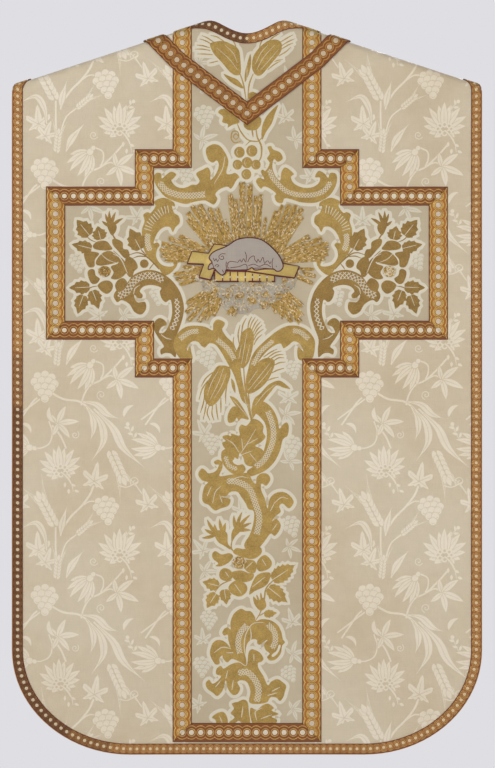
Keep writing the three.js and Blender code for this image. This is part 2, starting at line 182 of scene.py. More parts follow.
def fineOutline(points, step):
    rows = []
    for a, b in zip(points, np.roll(points, -1, axis=0)):
        count = max(1, int(round(norm(b - a) / step)))
        rows.extend(a + (b - a) * i / count for i in range(count))
    return np.array(rows)


# A sheet of cloth with its woven figures as areas of the same mesh. Later figures cover earlier ones.
def layCloth(name, side, outline, figures, lift, mats, step=9.0):
    border = fineOutline(np.asarray(outline, float), step)
    if area(border) < 0:
        border = border[::-1]
    low, high = border.min(0), border.max(0)
    points = [border]
    faces = [list(range(len(border)))]
    zones = [0]
    count = len(border)
    for zone, shape in figures:
        if (shape.max(0) < low).any() or (shape.min(0) > high).any():
            continue
        shape = shape if area(shape) > 0 else shape[::-1]
        faces.append(list(range(count, count + len(shape))))
        points.append(shape)
        zones.append(zone)
        count += len(shape)
    gridX = np.arange(low[0] + step / 2, high[0], step)
    gridZ = np.arange(low[1] + step / 2, high[1], step)
    points.append(np.stack(np.meshgrid(gridX, gridZ), -1).reshape(-1, 2))
    every = np.concatenate(points)
    result = geometry.delaunay_2d_cdt([Vector(p) for p in every], [], faces, 1, 1e-4, True)
    found, triangles, owners = np.array([tuple(p) for p in result[0]]), result[2], result[5]
    kept, keptZones = [], []
    for triangle, owner in zip(triangles, owners):
        if 0 in owner:
            kept.append(triangle if side < 0 else triangle[::-1])
            keptZones.append(zones[max(owner)])
    used = sorted({v for triangle in kept for v in triangle})
    order = {v: i for i, v in enumerate(used)}
    kept = [[order[v] for v in triangle] for triangle in kept]
    found = found[used]
    piece = newPiece(name, onCloth(side, found[:, 0], found[:, 1], lift), kept, mats, keptZones, found)
    corners = found[np.array(kept)]
    edgeA, edgeB = corners[:, 1] - corners[:, 0], corners[:, 2] - corners[:, 0]
    piece["flatArea"] = float(np.abs(edgeA[:, 0] * edgeB[:, 1] - edgeA[:, 1] * edgeB[:, 0]).sum() / 2e6)
    piece["flatSize"] = [float(v) / 1000 for v in found.max(0) - found.min(0)]
    return piece


def arc(centre, radii, start, end, count):
    turn = np.radians(np.linspace(start, end, count))
    return [(centre[0] + radii[0] * cos(t), centre[1] + radii[1] * sin(t)) for t in turn]


def polar(across, up, angle):
    return across * cos(radians(angle)), up * sin(radians(angle))


def cubic(a, b, c, d, count):
    t = np.linspace(0, 1, count)[:, None]
    a, b, c, d = (np.array(p, float) for p in (a, b, c, d))
    return list((1 - t) ** 3 * a + 3 * (1 - t) ** 2 * t * b + 3 * (1 - t) * t * t * c + t ** 3 * d)


def mirror(points):
    return [(-x, z) for x, z in points][::-1]


cornerPoints = 22
shoulderTip = {"drop": 14, "reach": 7, "in": 1.5}  # the small round where a side meets the shoulder
pastSeam = 60  # straight edges start above the shoulder seam and are cut on it


def tipPoints(side, tip):
    seam = side - shoulderTip["reach"]
    return [(side - shoulderTip["in"], tip - shoulderTip["reach"]), (seam, float(seamLine(seam)))]


# Half of a panel's edge, from the middle of the hem up the right side to the shoulder seam.
def backSide(inset=0):
    centre = (cut["halfWidth"] - cut["cornerWide"], cut["hem"] + cut["cornerHigh"])
    radii = (cut["cornerWide"] - inset, cut["cornerHigh"] - inset)
    side = cut["halfWidth"] - inset
    tip = float(seamLine(side))
    return [(0, cut["hem"] + inset), *arc(centre, radii, -90, 0, cornerPoints),
            (side, tip - shoulderTip["drop"]), *tipPoints(side, tip)]


def frontSide(inset=0):
    side, waist = cut["halfWidth"] - inset, cut["halfWidth"] - cut["waistInset"] - inset
    hemSide, cornerTop = cut["halfWidth"] - cut["frontHemInset"], cut["frontHem"] + cut["cornerHigh"]
    centre = (hemSide - cut["cornerWide"], cornerTop)
    radii = (cut["cornerWide"] - inset, cut["cornerHigh"] - inset)
    tip = float(shoulderLine(cut["halfWidth"])) - 12
    hemSide -= inset
    lower = cubic((hemSide, cornerTop), (hemSide, cornerTop + 170), (waist, cut["waist"] - 150),
                  (waist, cut["waist"]), 14)
    upper = cubic((waist, cut["waist"]), (waist, cut["waist"] + 110), (side - 20, tip - 90), (side, tip), 12)
    return [(0, cut["frontHem"] + inset), *arc(centre, radii, -90, 0, cornerPoints)[:-1], *lower[:-1], *upper,
            *tipPoints(side, float(seamLine(side)))]


# Half of a neck edge, from the shoulder seam down to the middle.
def backNeck():
    half = cut["neckHalf"]
    top = float(seamLine(half))
    rows = []
    for i in range(11):
        x = half * (1 - i / 10)
        dip = (1 + cos(pi * x / half)) / 2
        rows.append((x, top + (cut["neckDip"] - top) * dip))
    return rows


def frontNeck():
    half = cut["neckHalf"]
    top = float(seamLine(half))
    dip = cut["frontNeckDip"]
    return cubic((half, top), (half + 1, 0.55 * dip), (36, dip), (0, dip), 14)


def wholeOutline(rightSide, rightNeck):
    right = [*rightSide, *rightNeck]
    return np.array([*right, *mirror(right)[1:-1]], float)


def crossOutline(inset, foot):
    column, step, arm = (cut[k] - inset for k in ("columnHalf", "stepHalf", "armHalf"))
    armTop, armBottom = cut["armTop"] - inset, cut["armBottom"] + inset
    upper, lower = cut["upperStep"] - inset, cut["lowerStep"] + inset
    return [(column, foot), (column, lower), (step, lower), (step, armBottom), (arm, armBottom),
            (arm, armTop), (step, armTop), (step, upper), (column, upper), (column, pastSeam)]


seamAllowance = 10
braidWide = footHigh[2] - footLow[2]
orphreyInset = braidWide - seamAllowance


def orphreyOutline(orphreyEdge, neck, hemZ):
    seamX = orphreyEdge[-1][0]
    inner = [p for p in orphreyEdge if hemZ < p[1] < seamLine(p[0])]
    right = [(orphreyEdge[0][0], hemZ), *inner, (seamX, float(seamLine(seamX))), *neck]
    return np.array([*right, *mirror(right)[1:]], float)


plain, woven = 0, 1  # the two zones of the damask


def place(figures, at, angle=0):
    c, s = cos(radians(angle)), sin(radians(angle))
    turn = np.array([[c, s], [-s, c]])
    return [(zone, shape @ turn + at) for zone, shape in figures]


# The way across a line at each of its points.
def normals(line):
    slopes = np.gradient(line, axis=0)
    slopes /= np.maximum(norm(slopes, axis=1, keepdims=True), 1e-9)
    return np.stack([-slopes[:, 1], slopes[:, 0]], 1)


def ribbon(line, widths):
    line = np.asarray(line, float)
    normal = normals(line)
    half = np.asarray(widths, float)[:, None] / 2 * np.ones((len(line), 1))
    return np.concatenate([line + normal * half, (line - normal * half)[::-1]])


def bow(a, b, bulge, count=9):
    a, b = np.array(a, float), np.array(b, float)
    t = np.linspace(0, 1, count)[:, None]
    normal = np.array([-(b - a)[1], (b - a)[0]])
    return a + (b - a) * t + normal * bulge * 4 * t * (1 - t)


# Points on a smooth curve from b to c, with a and d as the neighbours that bend it.
def curve(a, b, c, d, count):
    square, cube = 2 * a - 5 * b + 4 * c - d, 3 * b - a - 3 * c + d
    return [0.5 * (2 * b + (c - a) * t + square * t * t + cube * t ** 3)
            for t in np.linspace(0, 1, count, endpoint=False)]


def through(points, count=8):
    points = [np.array(p, float) for p in points]
    points = [2 * points[0] - points[1], *points, 2 * points[-1] - points[-2]]
    rows = [p for four in zip(points, points[1:], points[2:], points[3:]) for p in curve(*four, count)]
    return np.array([*rows, points[-2]])


def taper(count, wide, start=0.15, end=0.05, peak=0.45):
    t = np.linspace(0, 1, count)
    up = start + (1 - start) * smooth(t / peak)
    down = end + (1 - end) * smooth((1 - t) / (1 - peak))
    return wide * np.minimum(up, down)


def disc(at, radius, count=12, squash=1.0):
    turn = np.linspace(0, 2 * pi, count, endpoint=False)
    return np.stack([at[0] + radius * np.cos(turn), at[1] + radius * squash * np.sin(turn)], 1)


# A shape with a gap of ground all round it, so that it stands clear of what it covers.
def grow(shape, gap):
    after, before = np.roll(shape, -1, 0) - shape, shape - np.roll(shape, 1, 0)
    ways = [v / np.maximum(norm(v, axis=1, keepdims=True), 1e-9) for v in (before, after)]
    mid = ways[0] + ways[1]
    mid /= np.maximum(norm(mid, axis=1, keepdims=True), 0.35)
    normal = np.stack([mid[:, 1], -mid[:, 0]], 1)
    return shape + normal * gap * (1 if area(shape) > 0 else -1)


def clear(shape, gap=0.8):
    return [(plain, grow(shape, gap)), (woven, shape)]


def leaf(length, wide, bend=0.0, vein=True, gap=0.8):
    line = bow((0, 0), (length, 0), bend, 11)
    t = np.linspace(0, 1, 11)
    widths = wide * np.sin(pi * t ** 0.85) ** 0.85 + 0.25
    figures = clear(ribbon(line, widths), gap)
    if vein:
        inner = line[1:-2]
        figures.append((plain, ribbon(inner, np.linspace(0.9, 0.35, len(inner)))))
    return figures


def passionFlower(radius):
    figures = []
    petals = [(-165, .62), (-15, .62), (-140, .5), (-40, .5), (172, .8), (8, .8), (150, .95), (30, .95),
              (126, 1.0), (54, 1.0), (104, .92), (76, .92), (90, 1.02)]
    for angle, reach in petals:
        figures += place(leaf(radius * reach, radius * 0.26, 0.02), (0, 0), angle)
    figures.append((plain, disc((0, -radius * 0.02), radius * 0.36, 16, 0.72)))
    for angle in range(0, 360, 45):
        at = polar(radius * 0.25, radius * 0.17, angle)
        figures += [(woven, disc(at, radius * 0.115, 10)), (plain, disc(at, radius * 0.055, 8))]
    stalk = ribbon(bow((0, 0), (0, -radius * 0.95), 0.12), taper(9, 2.6, .8, .3))
    figures += place(clear(stalk), (0, -2), 28)
    for side, down in ((-1, .52), (1, .62), (-1, .8), (1, .88)):
        at = (radius * (0.46 * down + 0.16 * side * 0.6), -radius * down * 0.95)
        figures += place(leaf(radius * 0.2, radius * 0.1, 0.0, False, 0.4), at, -60 + 35 * side)
    return figures


def bellFlower(length):
    figures = []
    for angle, reach in ((-46, .72), (44, .72), (-27, .92), (26, .92), (-9, 1.0), (10, .97)):
        petal = leaf(length * reach, length * 0.2, copysign(0.06, angle))
        figures += place(petal, (length * 0.1, 0), angle)
    figures += clear(disc((length * 0.08, 0), length * 0.13, 10, 0.9))
    figures += clear(disc((-length * 0.1, 0), length * 0.09, 9, 0.9), 0.5)
    return figures


def fiveLeaf(size):
    figures = []
    for angle, reach, wide in ((100, .62, .2), (38, .9, .26), (-22, 1, .27), (-78, .85, .25), (-142, .6, .2)):
        figures += place(leaf(size * reach, size * wide, 0.04), (0, 0), angle)
    return figures


def vineLeaf(size):
    lobes = ((90, 1.0), (32, .86), (148, .86), (-28, .62), (208, .62))
    rows = []
    for i in range(60):
        angle = 360 * i / 60
        reach = 0.3
        for at, long in lobes:
            away = (angle - at + 180) % 360 - 180
            reach = max(reach, long * (0.34 + 0.66 * exp(-(away / 17) ** 2)))
        reach *= 1 + 0.09 * cos(radians(angle * 15 - 90 * 15))
        if abs((angle - 270 + 180) % 360 - 180) < 22:
            reach *= 0.4
        rows.append(polar(size * reach, size * reach, angle))
    figures = clear(np.array(rows))
    for at, long in lobes:
        end = polar(size * long * 0.78, size * long * 0.78, at)
        figures.append((plain, ribbon(bow((0, 0), end, 0.03, 6), np.linspace(1.1, 0.4, 6))))
    return figures


def grapes(size):
    figures = []
    rows = ((-.3, .62), (.05, .7), (.36, .55), (-.45, .32), (-.12, .38), (.22, .36), (.5, .22), (-.3, .05),
            (.05, .06), (.36, 0), (-.12, -.24), (.2, -.28), (.04, -.55))
    for x, z in rows:
        at = (size * x, size * z * 0.9)
        figures += clear(disc(at, size * 0.19, 12), 0.7)
        shine = arc(at, (size * 0.115, size * 0.115), 200, 330, 6)
        figures.append((plain, ribbon(shine, [0.5, .8, .9, .9, .8, .5])))
    return figures


def wheatEar(length, kernels=6):
    figures = []
    for i in range(5):
        for side in (-1, 1):
            base = (length * (0.35 + 0.14 * i), side * length * 0.07)
            tip = (length * (1.0 + 0.1 * i), side * length * (0.16 + 0.04 * i))
            figures.append((woven, ribbon(bow(base, tip, 0.04 * side, 5), np.linspace(0.7, 0.25, 5))))
    for i in range(kernels):
        for side in (-1, 1):
            at = (length * (i + 0.25 * (side > 0)) / kernels * 0.85, side * length * 0.045)
            kernel = leaf(length * 0.26, length * 0.12, -0.03 * side, False, 0.6)
            figures += place(kernel, at, side * 19)
    figures += place(leaf(length * 0.26, length * 0.13, 0, False, 0.6), (length * 0.8, 0))
    return figures


def blade(points, wide):
    line = through(points)
    return [*clear(ribbon(line, taper(len(line), wide, .2, .03, .5)), 0.9),
            (plain, ribbon(line[2:-4], np.full(len(line) - 6, 0.7)))]


def stem(points, wide):
    line = through(points, 6)
    return [(woven, ribbon(line, np.full(len(line), wide)))]


def tendril(radius, turns=1.6):
    t = np.linspace(0.12, 1, 22)
    angle = t * turns * 2 * pi
    line = np.stack([radius * t * np.cos(angle), radius * t * np.sin(angle)], 1)
    return [(woven, ribbon(line, np.full(22, 1.15)))]


def sprig(length):
    figures = stem([(0, 0), (length * 0.5, length * 0.06), (length, 0)], 1.0)
    for i, side in enumerate((-1, 1, -1, 1)):
        small = leaf(length * 0.28, length * 0.12, 0, False, 0.3)
        figures += place(small, (length * (0.3 + 0.17 * i), 0), side * 48)
    figures.append((woven, disc((length * 1.04, 0), length * 0.1, 8)))
    return figures


# One repeat of the damask, drawn from its upper left corner, and where one such corner falls on the fields.
damaskRepeat = {"wide": 187.0, "high": 310.0, "up": -462.9, "fromRight": 97.4, "fromLeft": -375.1}


def damaskTile():
    figures = []
    for wide, points in (
            (2.6, [(196,-24), (182,-40), (163,-58), (147,-66), (138,-80), (134,-95)]),
            (2.0, [(163,-58), (176,-52), (186,-57)]),
            (2.2, [(153,-30), (165,-36), (166,-48), (162,-57)]),
            (3.0, [(88,-75), (108,-86), (132,-90), (150,-104)]),
            (2.0, [(87,-118), (92,-134), (88,-150), (76,-157), (66,-157)]),
            (2.6, [(92,-124), (104,-140), (112,-158)]),
            (3.0, [(106,-276), (118,-258), (133,-243), (146,-226), (152,-212)]),
            (2.0, [(133,-243), (146,-235), (160,-236)]), (1.6, [(26,-210), (34,-222), (42,-232)]),
            (1.6, [(30,-206), (14,-214), (2,-212)]), (2.6, [(98,-318), (97,-300), (97,-272)]),
            (2.0, [(104,-318), (112,-296), (127,-283)]), (2.6, [(40,-124), (62,-92), (70,-84)]),
            (2.2, [(34,-116), (58,-98), (74,-86)])):
        figures += stem(points, wide)
    for motif, size, at, angle in (
            (passionFlower, 38, (190,-3), 0), (passionFlower, 36, (104,-190), 4),
            (bellFlower, 40, (149,-34), 232), (bellFlower, 40, (62,-157), 172),
            (fiveLeaf, 34, (186,-58), 0), (fiveLeaf, 31, (100,-122), 28), (grapes, 31, (80,-70), 0),
            (grapes, 29, (170,-250), 8), (vineLeaf, 27, (153,-206), -10), (vineLeaf, 24, (44,-240), 16),
            (vineLeaf, 26, (72,-306), 4), (vineLeaf, 22, (82,-14), -20)):
        figures += place(motif(size), at, angle)
    for wide, points in (
            (10, [(136,-90), (156,-94), (172,-108), (188,-114)]),
            (9, [(141,-97), (150,-112), (152,-130), (147,-146)]),
            (11, [(147,-101), (163,-122), (166,-148), (149,-176)]),
            (12, [(152,-100), (180,-128), (196,-158), (226,-186)]),
            (9, [(104,-285), (106,-268), (113,-243)]),
            (9, [(84,-306), (80,-282), (68,-266), (46,-274)]), (10, [(112,-36), (120,-18), (138,4)])):
        figures += blade(points, wide)
    for motif, size, at, angle in (
            (wheatEar, 54, (176,-160), -66), (wheatEar, 56, (97,-272), 118),
            (wheatEar, 30, (127,-283), 40), (wheatEar, 34, (98,-38), 84), (tendril, 7, (163,-80), 40),
            (tendril, 6, (125,-138), 200), (tendril, 7.5, (25,-206), 10), (tendril, 6.5, (152,-12), 120),
            (sprig, 30, (216,-150), 118), (sprig, 28, (192,-296), 52)):
        figures += place(motif(size), at, angle)
    for long, wide, bend, at, angle in (
            (20, 5, 0.25, (46,-122), -42), (24, 6, -0.2, (88,-98), -70), (22, 6, 0.2, (196,-112), 50)):
        figures += place(leaf(long, wide, bend, False), at, angle)
    return figures


damaskFigures = damaskTile()


# Every repeat that can reach the given field.
def damask(originX, originZ, outline):
    low, high = outline.min(0) - 60, outline.max(0) + 60
    wide, tall = damaskRepeat["wide"], damaskRepeat["high"]
    figures = []
    for i in range(-4, 5):
        for j in range(-2, 6):
            at = (originX + i * wide, originZ - j * tall)
            if at[0] + wide < low[0] or at[0] > high[0] or at[1] - tall > high[1] or at[1] < low[1]:
                continue
            figures += [(zone, shape + at) for zone, shape in damaskFigures]
    return figures


# Braids are strips with pale discs, gold rings round them and gold scallops along both edges, and a dark
# strip of painted shadow along each edge. Upright runs of the wide braid have the two rows of scallops under
# "lace" instead.
wideBraid = {
    "wide": braidWide, "pitch": 13.2, "thick": 0.9, "disc": 4.0, "discHigh": 0.7, "ring": 5.6,
    "scallops": (9.7,), "lace": (7.6, 11.9), "cord": 1.5, "cordHigh": 0.65, "rim": 1.3,
}
narrowBraid = {
    "wide": 15.0, "pitch": 9.7, "thick": 0.8, "disc": 2.6, "discHigh": 0.55, "ring": 4.0,
    "scallops": (5.9,), "lace": (), "cord": 1.05, "cordHigh": 0.5, "rim": 0.9,
}


def splitRuns(points, sharp=20):
    points = [np.array(p, float) for p in points]
    runs, current = [], [points[0]]
    for a, b, c in zip(points, points[1:], points[2:]):
        current.append(b)
        turn = degrees(atan2(*(b - a)[::-1]) - atan2(*(c - b)[::-1]))
        if abs((turn + 180) % 360 - 180) > sharp:
            runs.append(current)
            current = [b]
    runs.append([*current, points[-1]])
    return [np.array(r) for r in runs]


def unit(v):
    return v / norm(v)


def leftOf(d):
    return np.array([-d[1], d[0]])


# How far an end is cut back along the run for each mm across it.
def endCut(direction, edge):
    return float(edge @ direction) / float(edge @ leftOf(direction))


def runFrame(line, u):
    steps = norm(np.diff(line, axis=0), axis=1)
    at = np.concatenate([[0], np.cumsum(steps)])
    inside = np.clip(u, 0, at[-1])
    x, z = np.interp(inside, at, line[:, 0]), np.interp(inside, at, line[:, 1])
    slopes = np.gradient(line, at, axis=0) if len(line) > 2 else np.repeat([unit(line[1] - line[0])], 2, 0)
    dx, dz = np.interp(inside, at, slopes[:, 0]), np.interp(inside, at, slopes[:, 1])
    size = np.hypot(dx, dz)
    dx, dz = dx / size, dz / size
    return x + (u - inside) * dx, z + (u - inside) * dz, dx, dz


def strip(rows, columns, closed=False):
    faces = []
    last = columns if closed else columns - 1
    for i in range(rows - 1):
        for j in range(last):
            a, b = i * columns + j, i * columns + (j + 1) % columns
            faces.append((a, a + columns, b + columns, b))
    return faces


def braidBody(length, recipe, step):
    half, thick = recipe["wide"] / 2, recipe["thick"]
    right = [(half * .5, thick * 1.06), (half - .7, thick), (half, thick * .5), (half, 0)]
    section = [*mirror(right), (0, thick * 1.1), *right]
    rows = max(2, int(round(length / step)) + 1)
    u = np.linspace(-half, length + half, rows)
    points = np.array([(a, v, h) for a in u for v, h in section])
    faces = [f[::-1] for f in strip(rows, len(section), True)]
    ends = len(section)
    return points, [*faces, tuple(range(ends))[::-1], tuple((rows - 1) * ends + i for i in range(ends))]


def braidRing(at, recipe, count=18):
    radius, half, high = recipe["ring"], recipe["cord"] / 2, recipe["cordHigh"]
    base = recipe["thick"] * 1.04
    rows = []
    for i in range(count):
        turn = 2 * pi * i / count
        for r, h in ((radius - half, 0), (radius, high), (radius + half, 0)):
            rows.append((at + r * cos(turn), r * sin(turn), base + h))
    faces = []
    for i in range(count):
        a, b = 3 * i, 3 * ((i + 1) % count)
        faces += [(a, a + 1, b + 1, b), (a + 1, a + 2, b + 2, b + 1)]
    return np.array(rows), faces


def braidDisc(at, recipe, count=12):
    radius, high, base = recipe["disc"], recipe["discHigh"], recipe["thick"] * 1.04
    rows = [(at, 0, base + high)]
    for r, h in ((.62, .86), (1.0, 0)):
        for i in range(count):
            turn = 2 * pi * i / count
            rows.append((at + r * radius * cos(turn), r * radius * sin(turn), base + h * high))
    faces = [(0, 1 + i, 1 + (i + 1) % count) for i in range(count)]
    faces += [(1 + i, 1 + count + i, 1 + count + (i + 1) % count, 1 + (i + 1) % count) for i in range(count)]
    return np.array(rows), faces


def braidScallop(length, cells, recipe, radius, edge):
    pitch = length / cells
    half, high = recipe["cord"] / 2, recipe["cordHigh"]
    base = recipe["thick"]
    spare = 1 + int(recipe["wide"] / 2 / pitch)
    u = np.linspace(-spare * pitch, length + spare * pitch, (cells + 2 * spare) * 8 + 1)
    away = (u + pitch / 2) % pitch - pitch / 2
    v = np.sqrt(radius * radius - (away * 1.05) ** 2)
    rows = []
    for a, b in zip(u, v):
        for side, h in ((-half, 0), (0, high), (half, 0)):
            rows.append((a, edge * (b + side), base + h))
    faces = strip(len(u), 3)
    return np.array(rows), faces if edge < 0 else [f[::-1] for f in faces]


# A dark strip along each edge: painted shadow where the braid's edge shades the cloth.
def braidShadowStrip(length, recipe, edge, step):
    half, wide, thick = recipe["wide"] / 2, recipe["rim"], recipe["thick"]
    u = np.linspace(-half, length + half, max(2, int(round(length / step)) + 1))
    section = ((half - wide, 0.0), (half - wide * 0.5, 0.25), (half + 0.05, -thick * 0.4))
    rows = np.array([(a, edge * v, thick + h) for a in u for v, h in section])
    faces = strip(len(u), 3)
    return rows, faces if edge < 0 else [f[::-1] for f in faces]


# The slope of the shoulder seam, where braids end.
seamLeft, seamRight = (slopeCos, slopeSin), (slopeCos, -slopeSin)


# Materials go in sets of four: ground, gold, disc, painted edge shadow. setAt picks the set by direction and
# place.
def layBraid(name, side, points, recipe, lift, mats, setAt):
    runs = splitRuns(points)
    allPoints, allFaces, allZones, allFlat = [], [], [], []
    count = 0
    total = 0.0
    for k, line in enumerate(runs):
        first, last = unit(line[1] - line[0]), unit(line[-1] - line[-2])
        length = float(norm(np.diff(line, axis=0), axis=1).sum())
        cuts = []
        before = runs[k - 1][-1] - runs[k - 1][-2] if k else None
        after = runs[k + 1][1] - runs[k + 1][0] if k + 1 < len(runs) else None
        for direction, other, edge in ((first, before, seamLeft), (last, after, seamRight)):
            if other is not None:
                edge = leftOf(direction) + leftOf(unit(other))
            cuts.append(endCut(direction, np.array(edge, float)))
        cells = max(1, int(round(length / recipe["pitch"])))
        step = 9 if len(line) == 2 else 5
        parts = [(0, *braidBody(length, recipe, step))]
        at = [i * length / cells for i in range(cells + 1)]
        parts += [(1, *braidRing(u, recipe)) for u in at]
        parts += [(2, *braidDisc(u, recipe)) for u in at]
        upright = abs(first[1]) > abs(first[0])
        for radius in recipe["lace" if upright and recipe["lace"] else "scallops"]:
            parts += [(1, *braidScallop(length, cells, recipe, radius, edge)) for edge in (-1, 1)]
        parts += [(3, *braidShadowStrip(length, recipe, edge, step)) for edge in (-1, 1)]
        for zone, rows, faces in parts:
            u, v, h = rows.T
            u = np.minimum(np.maximum(u, v * cuts[0]), length + v * cuts[1])
            x, z, dx, dz = runFrame(line, u)
            allPoints.append(onCloth(side, x - v * dz, z + v * dx, lift + h))
            allFaces += [tuple(i + count for i in (f if side < 0 else f[::-1])) for f in faces]
            allZones += [zone + 4 * setAt(first, x[f[0]], z[f[0]]) for f in faces]
            allFlat.append(np.stack([total + u, v], 1))
            count += len(rows)
        total += length
    newPiece(name, np.concatenate(allPoints), allFaces, mats, allZones, np.concatenate(allFlat))


# Colours are given as they look on screen.
def tone(red, green, blue):
    values = [v / 255 for v in (red, green, blue)]
    return (*[v / 12.92 if v <= 0.04045 else ((v + 0.055) / 1.055) ** 2.4 for v in values], 1.0)


def nodeGroup(name, inputs, outputs):
    group = bpy.data.node_groups.new(name, "ShaderNodeTree")
    for label, kind, value in inputs:
        socket = group.interface.new_socket(name=label, in_out="INPUT", socket_type="NodeSocket" + kind)
        if value is not None:
            socket.default_value = value
    for label, kind in outputs:
        group.interface.new_socket(name=label, in_out="OUTPUT", socket_type="NodeSocket" + kind)
    return group, group.nodes.new("NodeGroupInput"), group.nodes.new("NodeGroupOutput")


def mathNode(tree, operation, a, b=None, clamp=False):
    node = tree.nodes.new("ShaderNodeMath")
    node.operation = operation
    node.use_clamp = clamp
    for socket, value in zip(node.inputs, (a, b)):
        if value is None:
            continue
        if isinstance(value, (int, float)):
            socket.default_value = value
        else:
            tree.links.new(value, socket)
    return node.outputs[0]


def times(tree, a, b, clamp=False):
    return mathNode(tree, "MULTIPLY", a, b, clamp)


def plus(tree, a, b):
    return mathNode(tree, "ADD", a, b)


def setSockets(node, values):
    for label, value in values.items():
        node.inputs[label].default_value = value


def noiseNode(tree, vector, scale, detail=3.0, roughness=0.55):
    node = tree.nodes.new("ShaderNodeTexNoise")
    tree.links.new(vector, node.inputs["Vector"])
    setSockets(node, {"Scale": scale, "Detail": detail, "Roughness": roughness})
    return node.outputs["Fac"]


def stretch(tree, vector, x, y, z=1.0):
    node = tree.nodes.new("ShaderNodeMapping")
    tree.links.new(vector, node.inputs["Vector"])
    node.inputs["Scale"].default_value = (x, y, z)
    return node.outputs["Vector"]


def mixColor(tree, factor, a, b, blend="MIX"):
    node = tree.nodes.new("ShaderNodeMix")
    node.data_type = "RGBA"
    node.blend_type = blend
    for socket, value in ((node.inputs[0], factor), (node.inputs[6], a), (node.inputs[7], b)):
        if isinstance(value, (int, float, tuple)):
            socket.default_value = value
        else:
            tree.links.new(value, socket)
    return node.outputs[2]


# Threads running both ways, with uneven ribs. Spacings are in mm.
def buildWeave():
    group, source, out = nodeGroup(
        "plainWeave",
        [("Cloth", "Vector", None), ("Warp", "Float", 0.6), ("Weft", "Float", 0.6), ("Slub", "Float", 0.4)],
        [("Height", "Float"), ("Shade", "Float")])
    cloth, link = source.outputs["Cloth"], group.links.new
    parts = group.nodes.new("ShaderNodeSeparateXYZ")
    link(cloth, parts.inputs[0])
    waves = []
    for axis, label in ((0, "Warp"), (1, "Weft")):
        turns = mathNode(group, "DIVIDE", 2000 * pi, source.outputs[label])
        waves.append(mathNode(group, "SINE", times(group, parts.outputs[axis], turns)))
    threads = times(group, plus(group, waves[0], waves[1]), 0.25)
    across = noiseNode(group, stretch(group, cloth, 30, 900), 1.0, 2.0)
    down = noiseNode(group, stretch(group, cloth, 900, 40), 1.0, 2.0)
    slub = times(group, plus(group, across, down), source.outputs["Slub"])
    link(plus(group, threads, slub), out.inputs["Height"])
    link(times(group, plus(group, across, down), 0.5), out.inputs["Shade"])
    return group


# Slow changes of tone from age and handling: yellowed patches and faint soiling.
def buildAging():
    group, source, out = nodeGroup(
        "clothAging",
        [("Cloth", "Vector", None), ("Color", "Color", (1, 1, 1, 1)), ("Stain", "Float", 0.3)],
        [("Color", "Color"), ("Wear", "Float")])
    cloth, link = source.outputs["Cloth"], group.links.new
    broad = noiseNode(group, cloth, 5.0, 4.0, 0.6)
    fine = noiseNode(group, cloth, 60.0, 3.0, 0.6)
    patch = times(group, mathNode(group, "SUBTRACT", broad, 0.42, True), 2.2, True)
    amount = times(group, patch, source.outputs["Stain"])
    stained = mixColor(group, amount, source.outputs["Color"], tone(214, 190, 146), "MULTIPLY")
    speckle = times(group, mathNode(group, "SUBTRACT", fine, 0.5), 0.12)
    lighter = plus(group, speckle, 1.0)
    bright = group.nodes.new("ShaderNodeVectorMath")
    bright.operation = "SCALE"
    link(stained, bright.inputs[0])
    link(lighter, bright.inputs["Scale"])
    link(bright.outputs[0], out.inputs["Color"])
    link(patch, out.inputs["Wear"])
    return group


# Fine metal strip wound round silk: a slanting twist, with glints painted into the colour as highlights and
# its slants as painted shade.
def buildMetalThread():
    group, source, out = nodeGroup(
        "metalThread",
        [("Cloth", "Vector", None), ("Twist", "Float", 1), ("Light", "Color", None), ("Dark", "Color", None)],
        [("Color", "Color"), ("Height", "Float"), ("Roughness", "Float")])
    cloth, link = source.outputs["Cloth"], group.links.new
    parts = group.nodes.new("ShaderNodeSeparateXYZ")
    link(cloth, parts.inputs[0])
    slant = plus(group, parts.outputs[0], times(group, parts.outputs[1], 1.7))
    turns = mathNode(group, "DIVIDE", 2000 * pi, source.outputs["Twist"])
    wave = mathNode(group, "SINE", times(group, slant, turns))
    glint = noiseNode(group, cloth, 420.0, 3.0, 0.75)
    toneShift = noiseNode(group, cloth, 48.0, 5.0, 0.75)
    glintAndTwist = plus(group, times(group, wave, 0.14), times(group, glint, 0.9))
    # Painted highlight and shade: glints and twist move the colour towards the light one, with real tone
    # mottling on top.
    worn = mathNode(group, "SUBTRACT", plus(group, glintAndTwist, toneShift), 0.5, True)
    link(mixColor(group, worn, source.outputs["Dark"], source.outputs["Light"]), out.inputs["Color"])
    link(plus(group, times(group, wave, 0.5), glint), out.inputs["Height"])
    rough = mathNode(group, "SUBTRACT", 0.62, times(group, glint, 0.42))
    link(rough, out.inputs["Roughness"])
    return group


weaveGroup, agingGroup, metalGroup = buildWeave(), buildAging(), buildMetalThread()


def newMaterial(name):
    material = bpy.data.materials.new(name)
    material.use_nodes = True
    tree = material.node_tree
    shader = tree.nodes["Principled BSDF"]
    cloth = tree.nodes.new("ShaderNodeUVMap")
    cloth.uv_map = "cloth"
    return material, tree, shader, cloth.outputs[0]


def useGroup(tree, group, **values):
    node = tree.nodes.new("ShaderNodeGroup")
    node.node_tree = group
    for label, value in values.items():
        socket = node.inputs[label]
        if isinstance(value, bpy.types.NodeSocket):
            tree.links.new(value, socket)
        else:
            socket.default_value = value
    return node


def bumpInto(tree, shader, height, distance):
    bump = tree.nodes.new("ShaderNodeBump")
    bump.inputs["Distance"].default_value = distance
    tree.links.new(height, bump.inputs["Height"])
    tree.links.new(bump.outputs[0], shader.inputs["Normal"])


